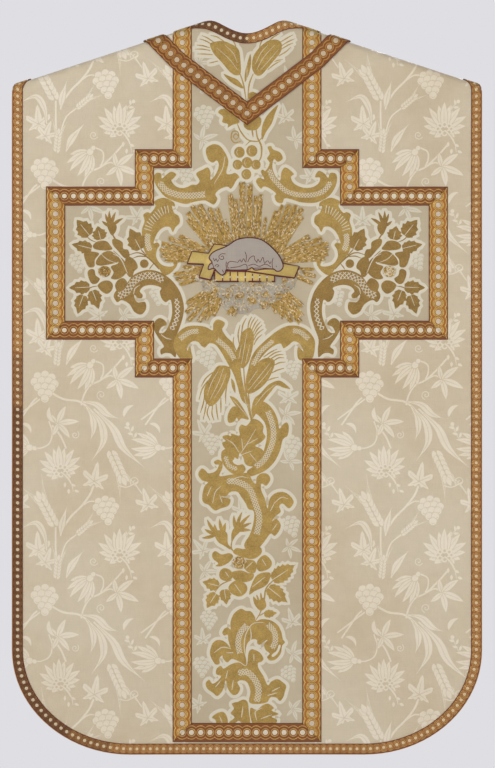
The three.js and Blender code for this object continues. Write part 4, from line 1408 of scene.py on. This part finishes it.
pale = [
    *lattice([(0,-877), (-10,-890), (-13,-905), (-10,-920)], 8, 4.2),
    *lattice([(30,-876), (40,-888), (41,-902), (36,-912)], 8, 4.0, 0.8),
    *lattice([(-14,-948), (0,-946), (12,-958), (17,-972), (14,-990)], 9, 4.4),
    blob((38,-924), (45,-918), (49,-908), (46,-907), (43,-915), (36,-921)),
    *lines(1.2, [(2,-916), (6,-894), (4,-880)], [(0,-930), (-4,-912), (-2,-892), (8,-876), (24,-874)],
        [(-24,-912), (-36,-910), (-48,-918)], [(-20,-918), (-30,-918)], [(-31,-956), (-28,-944)],
        [(-46,-968), (-38,-958)], [(-22,-972), (-20,-958)], [(36,-974), (48,-968)], [(30,-980), (44,-976)],
        [(10,-920), (10,-930)], [(-8,-1012), (-6,-996)], [(14,-1016), (12,-1004), (22,-998)],
        [(20,-1014), (36,-1008)], [(-36,-1020), (-40,-1010)]),
]
columnFoot = gold, pale


# Pale figures woven into the ground between the gold ones.
def groundFigures():
    figures = []
    spots = [(grapes, 17, -62, -140, 10), (fiveLeaf, 18, -66, -172, 40), (vineLeaf, 15, 56, -140, 12),
             (fiveLeaf, 17, 70, -172, 60), (grapes, 15, -90, -225, 0), (vineLeaf, 14, 92, -226, 30),
             (fiveLeaf, 18, -230, -270, 0), (vineLeaf, 15, -160, -285, 30), (grapes, 15, -246, -352, 10),
             (fiveLeaf, 16, -180, -428, 15), (vineLeaf, 16, -215, -428, 60), (grapes, 14, -130, -400, 0),
             (fiveLeaf, 18, 230, -272, 10), (vineLeaf, 15, 168, -290, 0), (grapes, 15, 246, -350, 30),
             (fiveLeaf, 16, 180, -428, 45), (vineLeaf, 16, 214, -426, 20), (grapes, 14, 130, -402, 20),
             (grapes, 17, -58, -492, 20), (vineLeaf, 16, 60, -548, 0), (grapes, 14, 66, -508, 15),
             (fiveLeaf, 17, 56, -572, 30), (vineLeaf, 16, -62, -600, 25), (grapes, 15, -52, -616, 0),
             (fiveLeaf, 17, 62, -640, 75), (grapes, 17, 64, -620, 0), (vineLeaf, 14, -8, -712, 10),
             (grapes, 16, 64, -736, 20), (fiveLeaf, 15, 60, -764, 0), (vineLeaf, 15, -64, -770, 40),
             (fiveLeaf, 16, -62, -800, 20), (grapes, 14, -56, -872, 0), (vineLeaf, 15, 66, -874, 15),
             (fiveLeaf, 17, 66, -920, 35), (grapes, 15, -66, -940, 0), (vineLeaf, 14, -70, -994, 50),
             (fiveLeaf, 15, 66, -1000, 10), (grapes, 13, 62, -950, 30), (vineLeaf, 13, -64, -900, 5),
             (fiveLeaf, 15, -70, -60, 20), (fiveLeaf, 14, 60, -80, 70), (grapes, 13, -66, -92, 0)]
    for motif, size, x, z, angle in spots:
        turned = place(motif(size * orphrey["figureSize"]), (x, z), angle)
        figures += [(3 if zone else 0, shape) for zone, shape in turned]
    return figures


# The zones of the brocade are its ground, gold, halo, ground figure and worn gold.
def orphreyFigures(parts):
    gold = [shape for shapes, _ in parts for shape in shapes]
    pale = [shape for _, shapes in parts for shape in shapes]
    halo = [(2, grow(shape, orphrey["haloWide"])) for shape in gold]
    worn = [(4 if abs(shape[:, 0].mean()) > orphrey["wornBeyond"] else 1, shape) for shape in gold]
    return [*groundFigures(), *halo, *worn, *[(2, shape) for shape in pale]]


def mirrored(part):
    return tuple([shape * [-1, 1] for shape in shapes] for shapes in part)


def raised(part, rise):
    return tuple([np.asarray(shape, float) + (0, rise) for shape in shapes] for shapes in part)


brocadeGround = silkCloth("brocadeGround", orphrey["ground"], orphrey["roughness"], 0.2, 0.4, bump=0.00016)
brocadeGold = goldThread("brocadeGold", orphrey["gold"], orphrey["goldShade"], 0.9, 0.35, 0.00016)
brocadeWorn = goldThread("brocadeWorn", orphrey["worn"], orphrey["wornShade"], 0.9, 0.35, 0.00016)
brocadeHalo = silkCloth("brocadeHalo", orphrey["halo"], 0.55, 0.3, 0.15, 0.3, 0.6, 0.00008, 0.08)
brocadeFigure = silkCloth("brocadeFigure", orphrey["figure"], 0.5, 0.3, 0.2, 0.3, 0.6, 0.00008, 0.1)
orphreyMats = [brocadeGround, brocadeGold, brocadeHalo, brocadeFigure, brocadeWorn]
frontColumnEdge = [(cut["columnHalf"] - orphreyInset, z) for z in (frontFoot, pastSeam)]
columnParts = [lowerScrolls, columnScroll, columnFoot]
backParts = [armSide, mirrored(armSide), upperScrolls, vineTop, *columnParts]
frontParts = [raised(columnFoot, orphrey["footRepeat"]), *columnParts]
crossEdge = crossOutline(orphreyInset, backFoot)
for name, side, outline, parts in (
        ("backOrphrey", -1, orphreyOutline(crossEdge, backNeck(), backFoot), backParts),
        ("frontOrphrey", 1, orphreyOutline(frontColumnEdge, frontNeck(), frontFoot), frontParts)):
    layCloth(name, side, outline, orphreyFigures(parts), layers["orphrey"], orphreyMats, orphrey["mesh"])
print("orphreys done")


halfWide, halfNarrow = wideBraid["wide"] / 2, narrowBraid["wide"] / 2
columnX = cut["columnHalf"] - halfWide
crossLine = crossOutline(halfWide, cut["foot"] + halfWide)
columnLine = [(columnX, cut["frontFoot"] + halfWide), (columnX, pastSeam)]
for name, side, line in (("backCrossBraid", -1, crossLine), ("frontColumnBraid", 1, columnLine)):
    layBraid(name, side, toSeam(bothHalves(line)), wideBraid, layers["braid"], wideMats, paintedSheenByRun)

# The lower left of the edge braid and the left of the collar are darker than the rest.
toneShift = {"from": (-200, -480), "darkest": (-260, -560)}


def darkerLowerLeft(direction, x, z):
    if x > toneShift["from"][0] or z > toneShift["from"][1]:
        return 1
    return 0 if x < toneShift["darkest"][0] and z < toneShift["darkest"][1] else 2


def collarSide(direction, x, z):
    return 0 if x < 0 else 1


def evenTone(direction, x, z):
    return 1


for name, side, line in (("backEdgeBraid", -1, backSide(halfNarrow)),
                         ("frontEdgeBraid", 1, frontSide(halfNarrow))):
    layBraid(name, side, bothHalves(line), narrowBraid, layers["braid"], narrowMats, darkerLowerLeft)


def neckLine(neck):
    right = np.array(neck)[::-1]
    return toSeam(offsetPath([*mirror([tuple(p) for p in right]), *right[1:]], -halfNarrow))


for name, side, line in (("backNeckBraid", -1, backNeck()), ("frontNeckBraid", 1, frontNeck())):
    layBraid(name, side, neckLine(line), narrowBraid, layers["collar"], narrowMats, collarSide)

vBand = {"point": (0, -150.7), "knee": (110, -66.9), "steep": 45.5, "pastKnee": 80, "frontPoint": (0, -252)}
beyond = polar(vBand["pastKnee"], vBand["pastKnee"], vBand["steep"])
backV = [vBand["point"], vBand["knee"], (vBand["knee"][0] + beyond[0], vBand["knee"][1] + beyond[1])]
seamPoint = toSeam([(0, -500), *backV])[-1]
frontPoint = np.array(vBand["frontPoint"])
frontV = [tuple(frontPoint), tuple(seamPoint + (seamPoint - frontPoint) * 0.2)]  # both bands meet on the seam
for name, side, line, setAt in (("backVBand", -1, backV, collarSide), ("frontVBand", 1, frontV, evenTone)):
    line = toSeam(offsetPath(bothHalves(line), halfWide))
    layBraid(name, side, line, wideBraid, layers["band"], bandMats, setAt)
print("braids done")


# Embroidery: small parts given as rows of (across, up, height), sewn onto the cloth as one piece.
def sewOn(name, parts, lift, mats):
    rows, faces, zones, count = [], [], [], 0
    for zone, points, shapes in parts:
        rows.append(points)
        faces += [tuple(i + count for i in shape) for shape in shapes]
        zones += [zone] * len(shapes)
        count += len(points)
    x, z, h = np.concatenate(rows).T
    newPiece(name, onCloth(-1, x, z, lift + h), faces, mats, zones, np.stack([x, z], 1))


# A twisted cord laid along a line.
def cordAlong(points, wide, high, zone, base=0.0, smoothLine=True):
    if smoothLine:
        line = through(points, 5)
    else:
        start, finish = np.array(points, float)
        line = np.concatenate([[start], start + (finish - start) * np.linspace(0, 1, 8)[1:, None]])
    section = [(wide / 2 * cos(t), high * sin(t)) for t in np.linspace(pi, 0, 6)]
    rows = [(*(p + n * v), base + h) for p, n in zip(line, normals(line)) for v, h in section]
    return zone, np.array(rows), [f[::-1] for f in strip(len(line), 6)]


def slab(shape, high, zone, base=0.0):
    shape = shape if area(shape) > 0 else shape[::-1]
    count = len(shape)
    rows = [(x, z, base + h) for h in (0.0, high) for x, z in shape]
    sides = [(i, (i + 1) % count, count + (i + 1) % count, count + i) for i in range(count)]
    return zone, np.array(rows), [*sides, tuple(range(count, 2 * count))]


# A padded shape that rises from its edge.
def padding(shape, high, softness, zone, base=0.0, step=2.2):
    shape = fineOutline(shape if area(shape) > 0 else shape[::-1], step)
    low, far = shape.min(0), shape.max(0)
    grid = np.meshgrid(np.arange(low[0], far[0], step), np.arange(low[1], far[1], step))
    every = np.concatenate([shape, np.stack(grid, -1).reshape(-1, 2)])
    whole = [list(range(len(shape)))]
    result = geometry.delaunay_2d_cdt([Vector(p) for p in every], [], whole, 1, 1e-4, True)
    found = np.array([tuple(p) for p in result[0]])
    kept = [triangle for triangle, owner in zip(result[2], result[5]) if owner]
    reach = np.sqrt(((found[:, None] - shape[None]) ** 2).sum(2)).min(1)
    heights = base + high * (1 - np.exp(-reach / softness))
    used = sorted({v for triangle in kept for v in triangle})
    order = {v: i for i, v in enumerate(used)}
    rows = np.column_stack([found[used], heights[used]])
    return zone, rows, [tuple(order[v] for v in triangle) for triangle in kept]


# Short lengths of coiled wire, each a half tube: rows of (across, up, turn, long, thick, base).
def purls(items, zone):
    items = np.array(items, float)
    if not len(items):
        return []
    section = np.array([(-1, 0), (-0.75, 0.75), (0, 1.05), (0.75, 0.75), (1, 0)])
    c, s = np.cos(items[:, 2]), np.sin(items[:, 2])
    rows = np.zeros((len(items), 10, 3))
    for k, end in enumerate((-0.5, 0.5)):
        for j, (v, h) in enumerate(section):
            along_, across = items[:, 3] * end, items[:, 4] * v
            rows[:, 5 * k + j, 0] = items[:, 0] + along_ * c - across * s
            rows[:, 5 * k + j, 1] = items[:, 1] + along_ * s + across * c
            rows[:, 5 * k + j, 2] = items[:, 5] + items[:, 4] * h
    pattern = [(j, j + 1, j + 6, j + 5) for j in range(4)] + [(4, 3, 2, 1, 0), (5, 6, 7, 8, 9)]
    faces = [tuple(10 * i + v for v in shape[::-1]) for i in range(len(items)) for shape in pattern]
    return [(zone, rows.reshape(-1, 3), faces)]


# Sorts lengths of wire into bright, plain and dull ones.
def mixedPurls(items, zones, shares):
    bins = [[] for _ in zones]
    for item in items:
        pick = dice.random()
        k = 0
        while pick > shares[k] and k + 1 < len(zones):
            pick -= shares[k]
            k += 1
        bins[k].append(item)
    return [part for zone, chosen in zip(zones, bins) for part in purls(chosen, zone)]


purl = {"long": 3.1, "thick": 0.62, "apart": 1.5, "loose": 900}
# Metal threads are a light and a dark colour, mixed by painted glint highlights and painted twist shade.
embroidery = {
    "gold": ((248, 212, 126), (192, 150, 70)),
    "bright": ((255, 250, 226), (250, 222, 176)),
    "dull": ((206, 166, 88), (144, 108, 48)),
    "silver": ((240, 230, 210), (186, 174, 152)),
    "maroon": (92, 24, 30),
    "wood": ((236, 210, 126), (198, 166, 88)),
    "fleece": (186, 174, 160),
}


# The ragged end of a ray: how far across, as a share of its width, and how far along.
jags = [(0.5, -3.5), (0.26, 2.2), (0.06, -2.0), (-0.16, 2.8), (-0.34, -1.6), (-0.5, -4.5)]


def strandParts(x0, z0, x1, z1, wide0, wide1):
    start, tip = np.array((x0, z0), float), np.array((x1, z1), float)
    direction = unit(tip - start)
    normal = leftOf(direction)
    length = float(norm(tip - start))
    turn = atan2(direction[1], direction[0])
    outline = np.array([start - normal * wide0 / 2, start + normal * wide0 / 2,
                        *[tip + normal * wide1 * v + direction * u for v, u in jags]])
    items = []
    for u in np.arange(0, length - 0.5, purl["long"] * 0.8):
        wide = wide0 + (wide1 - wide0) * u / length
        for v in np.arange(-wide / 2 + 0.5, wide / 2 - 0.1, purl["apart"]):
            at = start + direction * (u + dice.uniform(0, 2.4)) + normal * (v + dice.uniform(-0.2, 0.5))
            items.append((*at, turn + dice.gauss(0, 0.25), purl["long"] * dice.uniform(0.75, 1.2),
                          purl["thick"], 0.3 + dice.uniform(0, 0.35)))
    return [slab(outline, 0.4, 0), *mixedPurls(items, (1, 0, 2), (.18, .56, .26))]


# Each bundle of rays is a few straight strands: from (across, up) to (across, up), and the two widths.
rays = {
    "top": [(-6, -316, -7, -236, 8, 9), (3, -316, 4, -238, 8, 8), (-13, -316, -17, -259, 5, 6),
        (-18, -318, -24, -252, 6, 7), (10, -316, 13, -255, 5, 6), (16, -318, 20, -253, 5, 6),
        (-23, -320, -31, -289, 5, 5), (22, -320, 27, -286, 5, 5)],
    "upper_left": [(-28, -322, -43, -274, 6, 7), (-33, -324, -54, -273, 6, 7), (-38, -326, -69, -267, 6, 8),
        (-43, -327, -79, -269, 6, 8), (-48, -330, -85, -279, 6, 7), (-52, -331, -86, -289, 5, 6)],
    "upper_right": [(27, -320, 42, -277, 6, 6), (31, -323, 51, -269, 5, 6), (35, -326, 62, -267, 5, 7),
        (38, -329, 72, -268, 5, 7), (41, -332, 80, -273, 5, 7), (44, -335, 80, -284, 5, 7),
        (47, -338, 73, -293, 5, 6)],
    "left": [(-58, -332, -97, -312, 5, 7), (-62, -335, -113, -315, 5, 7), (-76, -336, -123, -323, 5, 7),
        (-80, -339, -125, -332, 5, 7), (-82, -343, -124, -340, 5, 6), (-84, -347, -118, -347, 5, 6)],
    "right": [(49, -336, 90, -313, 5, 7), (51, -339, 107, -316, 5, 7), (53, -342, 117, -323, 5, 7),
        (53, -345, 118, -331, 5, 6), (53, -348, 117, -338, 4, 6), (54, -350, 112, -345, 4, 6)],
    "lower_left": [(-66, -358, -92, -357, 5, 6), (-66, -363, -105, -367, 5, 6), (-66, -368, -103, -375, 5, 6),
        (-66, -373, -97, -382, 5, 6)],
    "lower_right": [(77, -360, 95, -360, 5, 5), (75, -365, 98, -370, 6, 6), (73, -371, 94, -380, 6, 6)],
    "foot_left": [(-60, -392, -87, -410, 6, 7), (-54, -394, -88, -422, 6, 7), (-49, -396, -85, -434, 6, 7),
        (-45, -399, -70, -435, 6, 7), (-41, -401, -59, -433, 6, 6), (-37, -403, -48, -426, 5, 6)],
    "foot_right": [(58, -394, 79, -413, 6, 7), (52, -396, 79, -427, 6, 7), (47, -398, 76, -436, 6, 7),
        (42, -400, 64, -436, 6, 7), (38, -402, 52, -429, 5, 6), (33, -404, 42, -423, 5, 5)],
}
purlMats = [goldThread("purl" + label.capitalize(), *embroidery[label], 0.5, 0.25, 0.0002)
            for label in ("gold", "bright", "dull", "silver")]
rayNames = {label: "rays" + "".join(word.capitalize() for word in label.split("_")) for label in rays}
for label, strands in rays.items():
    parts = [part for strand in strands for part in strandParts(*strand)]
    sewOn(rayNames[label], parts, layers["work"], purlMats)


# A curl of cloud or the heart of a rose: wire laid in rings over a low dome.
def curl(x, z, radius, zones, shares, high=1.2, hollow=0.0):
    items = []
    ring = max(hollow, purl["apart"] * 0.6)
    while ring < radius:
        around = max(3, int(2 * pi * ring / (purl["long"] * 0.85)))
        shift = dice.uniform(0, 6)
        for i in range(around):
            turn = 2 * pi * i / around + shift
            level = high * (1 - (ring / radius) ** 2)
            items.append((x + ring * cos(turn), z + ring * sin(turn) * 0.85,
                          turn + pi / 2 + dice.gauss(0, 0.3), purl["long"] * 0.95, purl["thick"],
                          level + dice.uniform(0, 0.25)))
        ring += purl["apart"]
    under = slab(disc((x, z), radius, 16, 0.85), 0.15, zones[-1])
    return [under, *mixedPurls(items, zones, shares)]


silverCurls = [
    (-57, -387, 8), (-37, -392, 9), (-1, -388, 10), (17, -389, 9), (33, -384, 8), (47, -388, 8),
    (60, -383, 8), (67, -374, 6), (-29, -408, 8), (-13, -408, 8), (-2, -416, 8), (19, -405, 8), (36, -404, 7),
    (-68, -373, 6), (-18, -388, 7), (6, -398, 6), (78, -365, 4), (-46, -380, 5),
]
goldCurls = [
    (-47, -391, 6), (-26, -397, 6), (-11, -399, 6), (8, -405, 8), (26, -397, 6), (-21, -421, 8),
    (26, -412, 7), (55, -376, 5), (45, -400, 6), (-55, -377, 5), (8, -384, 5),
]
cloudParts = [part for spot in silverCurls for part in curl(*spot, (3, 1, 3), (.7, .2, .1), 1.4, 1.5)]
cloudParts += [part for spot in goldCurls for part in curl(*spot, (0, 1, 2), (.6, .15, .25), 1.5, 1.0)]
cloudSpots = silverCurls + goldCurls
cloudGround = closed([(-66,-372), (-60,-362), (0,-372), (60,-366), (74,-366), (68,-384), (52,-398), (40,-412),
    (14,-417), (-4,-425), (-30,-420), (-40,-404), (-62,-392)])
cloudParts.append(slab(cloudGround, 0.1, 3))
scattered = []
for _ in range(purl["loose"]):
    x, z, r = dice.choice(cloudSpots)
    turn, far = dice.uniform(0, 2 * pi), r * dice.uniform(0.2, 1.15)
    scattered.append((x + far * cos(turn), z + far * 0.85 * sin(turn), turn + pi / 2,
                      purl["long"] * dice.uniform(0.7, 1.3), purl["thick"], 0.9 + dice.uniform(0, 0.7)))
cloudParts += mixedPurls(scattered, (3, 0, 1, 2), (.46, .26, .18, .1))
sewOn("emblemClouds", cloudParts, layers["work"], purlMats)

crossWood = goldThread("crossWood", *embroidery["wood"], 0.7, 0.2, 0.0001)
maroonSilk = silkCloth("maroonSilk", embroidery["maroon"], 0.5, 0.2, 0.0, 0.3, 0.3, 0.0001)
fleece = silkCloth("fleece", embroidery["fleece"], 0.75, 0.4, 0.15, 0.5, 1.6, 0.0004, 0.25)
sealSilver = goldThread("sealSilver", *embroidery["silver"], 0.6, 0.2, 0.0001)
crossShape = [
    (-80,-334), (-56,-337), (-48,-323.5), (-28,-326), (-20,-345), (30,-350), (76,-356), (69,-373), (39,-369),
    (0,-363), (-47,-361), (-53,-376), (-70,-372), (-63,-353), (-87,-352),
]
crossParts = [slab(np.array(crossShape, float), 1.1, 0)]
crossParts += [cordAlong([a, b], thick, 0.8, 1, 0.9, False) for a, b, thick in (
    ((-80, -334), (-56, -337), 1.3), ((-56, -337), (-48, -323.5), 1.3), ((-48, -323.5), (-28, -326), 1.3),
    ((50, -351), (76, -356), 1.3), ((76, -356), (69, -373), 1.8), ((69, -373), (39, -369), 2.2),
    ((39, -369), (0, -363), 2.2), ((0, -363), (-47, -361.5), 2.8), ((-47, -361), (-53, -376), 2.0),
    ((-53, -376), (-70, -372), 2.4), ((-70, -372), (-63, -353), 1.4), ((-63, -353), (-87, -352), 2.4),
    ((-87, -352), (-80, -334), 1.3))]
sewOn("emblemCross", crossParts, layers["work"] + 0.9, [crossWood, maroonSilk])

bookX = [-47, -35.5, -24.5, -13.5, -2.5, 8, 18.5, 29, 40]
bookParts = [slab(np.array([(-47, -362), (40, -366), (40, -378), (-47, -378)], float), 0.8, 0)]
bookParts += [cordAlong([(x, -364 if x < 0 else -366 - x * 0.11), (x, -378)], 1.7, 0.6, 1, 0.7, False)
              for x in bookX]
bookParts += [cordAlong([(a, -378), (b, -378)], 2.1, 0.7, 1, 0.7, False)
              for a, b in ((-48, -12), (2, 21), (36, 41))]
bookParts += [slab(disc((x, -371.5), 1.7, 8), 0.5, 2, 1.2) for x in bookX[1:-1]]
sewOn("emblemBook", bookParts, layers["work"] + 0.8, [crossWood, maroonSilk, sealSilver])

lambOutline = closed([(-55,-344), (-52,-338), (-45,-333), (-30,-327), (-16,-318), (-5,-315), (8,-314.5),
    (21,-317.5), (32,-325), (44,-337), (50,-347), (52.5,-356), (49,-362), (43,-363), (38,-360), (24,-360),
    (12,-361.5), (7,-358), (0,-361), (-22,-361.5), (-30,-361), (-32,-366), (-37,-368.5), (-43,-364),
    (-48,-359), (-56,-360.5), (-55,-354), (-51,-350)], 5)
lambLines = [
    [(-31,-338), (-37,-338), (-41,-342), (-38,-346), (-34,-345), (-35,-341), (-38,-342)],
    [(-49,-344), (-47,-348), (-45,-345), (-43,-349), (-41,-346)],
    [(-47,-356), (-44,-353.5), (-41,-355), (-44,-357)], [(-51,-350), (-49,-356), (-48,-360)],
    [(-30,-349), (-30.5,-355), (-29,-361)], [(-29,-352), (-24,-349), (-15,-350)],
    [(-24,-358), (-12,-356.5), (-3,-353), (0,-356), (0,-361)],
    [(-14,-351), (-10,-346.5), (-8,-350), (-5,-345), (-2,-350), (-1,-341), (-3,-335)],
    [(1,-350), (4,-344), (10,-341), (11,-346), (14,-350)],
    [(14,-351), (16,-346), (19,-350), (23,-343), (25,-351)], [(25,-352), (30,-348), (33,-352), (35,-349)],
    [(2,-355), (10,-353), (18,-356), (27,-353), (35,-357)], [(38,-344), (36.5,-350), (37,-357), (39,-361)],
    [(42,-355), (43,-357)], [(-36,-361), (-34,-365)], [(-27,-352), (-29,-356), (-26,-359)],
    [(9,-359), (20,-358.5), (34,-359.5)],
]
lamb = {"base": 0.4, "high": 2.6, "soft": 6.5, "edgeCord": 1.7, "innerCord": 0.95}
lambParts = [padding(lambOutline, lamb["high"], lamb["soft"], 0, lamb["base"])]
rim = np.concatenate([lambOutline, lambOutline[:1]])
lambParts.append(cordAlong([tuple(p) for p in rim], lamb["edgeCord"], 1.1, 1, lamb["base"]))
for points in lambLines:
    zone, rows, shapes = cordAlong(points, lamb["innerCord"], 0.5, 1)
    away = np.sqrt(((rows[:, None, :2] - lambOutline[None]) ** 2).sum(2)).min(1)
    rows[:, 2] += lamb["base"] + lamb["high"] * (1 - np.exp(-away / lamb["soft"])) - 0.1
    lambParts.append((zone, rows, shapes))
sewOn("emblemLamb", lambParts, layers["work"] + 1.9, [fleece, maroonSilk])

hearts = {
    "roseHeartLeft": (-207, -363.3, 8.5, (2, 0, 1), (.55, .4, .05)),
    "roseHeartRight": (207, -363.3, 9.5, (1, 0, 2), (.6, .3, .1)),
    "roseHeartColumn": (-11, -787, 10.5, (1, 0, 2), (.35, .4, .25)),
}
for name, heart in hearts.items():
    sewOn(name, curl(*heart, 1.3), layers["work"], purlMats)
print("embroidery done")


# The viewpoint: square on to the back, a little above the middle.
camera = {"at": (0.0007, -4.514, -0.527), "away": 4.5, "tall": 1.1165, "sensor": 36}
lens = bpy.data.cameras.new("camera")
lens.sensor_width = camera["sensor"]
lens.lens = camera["sensor"] * camera["away"] / camera["tall"]
eye = bpy.data.objects.new("camera", lens)
eye.location = camera["at"]
eye.rotation_euler = (radians(90), 0, 0)
scene.collection.objects.link(eye)
scene.camera = eye

studio = {"wall": (223, 222, 227), "softLight": 0.46, "floorBelow": 0.14, "floorRough": 0.9}
scene.view_settings.view_transform = "Standard"
world = bpy.data.worlds.new("studio")
world.use_nodes = True
sky = world.node_tree
seen = sky.nodes["Background"]
seen.inputs["Color"].default_value = tone(*studio["wall"])
lit = sky.nodes.new("ShaderNodeBackground")
setSockets(lit, {"Color": tone(*studio["wall"]), "Strength": studio["softLight"]})
ray = sky.nodes.new("ShaderNodeLightPath")
either = sky.nodes.new("ShaderNodeMixShader")
sky.links.new(ray.outputs["Is Camera Ray"], either.inputs[0])
sky.links.new(lit.outputs[0], either.inputs[1])
sky.links.new(seen.outputs[0], either.inputs[2])
sky.links.new(either.outputs[0], sky.nodes["World Output"].inputs["Surface"])
scene.world = world

lamps = {
    "key": ((-1.8, -3.0, 0.4), 1.4, 64),
    "fill": ((2.2, -3.0, -0.7), 2.0, 56),
    "rear": ((0.6, 2.8, 0.9), 1.8, 60),
    "top": ((-0.3, -0.9, 2.3), 1.6, 9),
}
for label, (at, size, power) in lamps.items():
    light = bpy.data.lights.new(label, "AREA")
    light.size = size
    light.energy = power
    lamp = bpy.data.objects.new(label, light)
    lamp.location = at
    lamp.rotation_euler = (Vector((0, 0, -0.5)) - Vector(at)).to_track_quat("-Z", "Y").to_euler()
    scene.collection.objects.link(lamp)

floorZ = cut["hem"] / 1000 - studio["floorBelow"]
floor = newPiece("floor", [(x, y, floorZ) for x, y in ((-1.5, -1.6), (1.5, -1.6), (1.5, 0.9), (-1.5, 0.9))],
                 [(0, 1, 2, 3)], [])
paper = bpy.data.materials.new("paper")
paper.use_nodes = True
setSockets(paper.node_tree.nodes["Principled BSDF"],
           {"Base Color": tone(*studio["wall"]), "Roughness": studio["floorRough"]})
floor.data.materials.append(paper)


def sidesOf(layer):
    return [f"left_shoulder_{layer}", f"right_shoulder_{layer}"]


def made(name):
    return bpy.data.objects[name]


# What each piece is made of, and the nodes it stands for.
backPieces = {
    "backLining": ("lining_silk", ["back_lining", *sidesOf("lining")]),
    "backInterlining": ("interlining_linen", ["back_interlining", *sidesOf("interlining")]),
    "backLeftField": ("silk_damask", ["back_left_field", "left_shoulder_field"]),
    "backRightField": ("silk_damask", ["back_right_field", "right_shoulder_field"]),
    "backOrphrey": ("orphrey_brocade", ["back_cross_orphrey", *sidesOf("orphrey")]),
    "backCrossBraid": ("wide_braid", ["back_cross_braid_foot", "back_cross_braid_left",
                                      "back_cross_braid_right", *sidesOf("column_braid")]),
    "backEdgeBraid": ("narrow_braid", ["back_edge_braid", *sidesOf("edge_braid")]),
    "backNeckBraid": ("narrow_braid", ["back_neck_braid", *sidesOf("neck_braid")]),
    "backVBand": ("wide_braid", ["back_v_band", *sidesOf("v_band")]),
    **{name: ("gold_embroidery", [f"rays_{label}"]) for label, name in rayNames.items()},
    "emblemClouds": ("silver_embroidery", ["emblem_clouds"]),
    "emblemBook": ("gold_embroidery", ["emblem_book"]),
    "emblemCross": ("gold_embroidery", ["emblem_cross"]),
    "emblemLamb": ("silver_embroidery", ["emblem_lamb"]),
    "roseHeartLeft": ("gold_embroidery", ["rose_heart_left"]),
    "roseHeartRight": ("gold_embroidery", ["rose_heart_right"]),
    "roseHeartColumn": ("gold_embroidery", ["rose_heart_column"]),
}
frontPieces = {
    "frontLining": ("lining_silk", ["front_lining"]),
    "frontInterlining": ("interlining_linen", ["front_interlining"]),
    "frontLeftField": ("silk_damask", ["front_left_field"]),
    "frontRightField": ("silk_damask", ["front_right_field"]),
    "frontOrphrey": ("orphrey_brocade", ["front_column_orphrey"]),
    "frontColumnBraid": ("wide_braid", ["front_column_braid_foot", "front_column_braid_left",
                                        "front_column_braid_right"]),
    "frontEdgeBraid": ("narrow_braid", ["front_edge_braid"]),
    "frontNeckBraid": ("narrow_braid", ["front_neck_braid"]),
    "frontVBand": ("wide_braid", ["front_v_band"]),
}
for name, (slotName, nodes) in (backPieces | frontPieces).items():
    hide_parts(*nodes)
for name in backPieces:
    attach(made(name), "back")
for name in frontPieces:
    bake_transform(made(name))
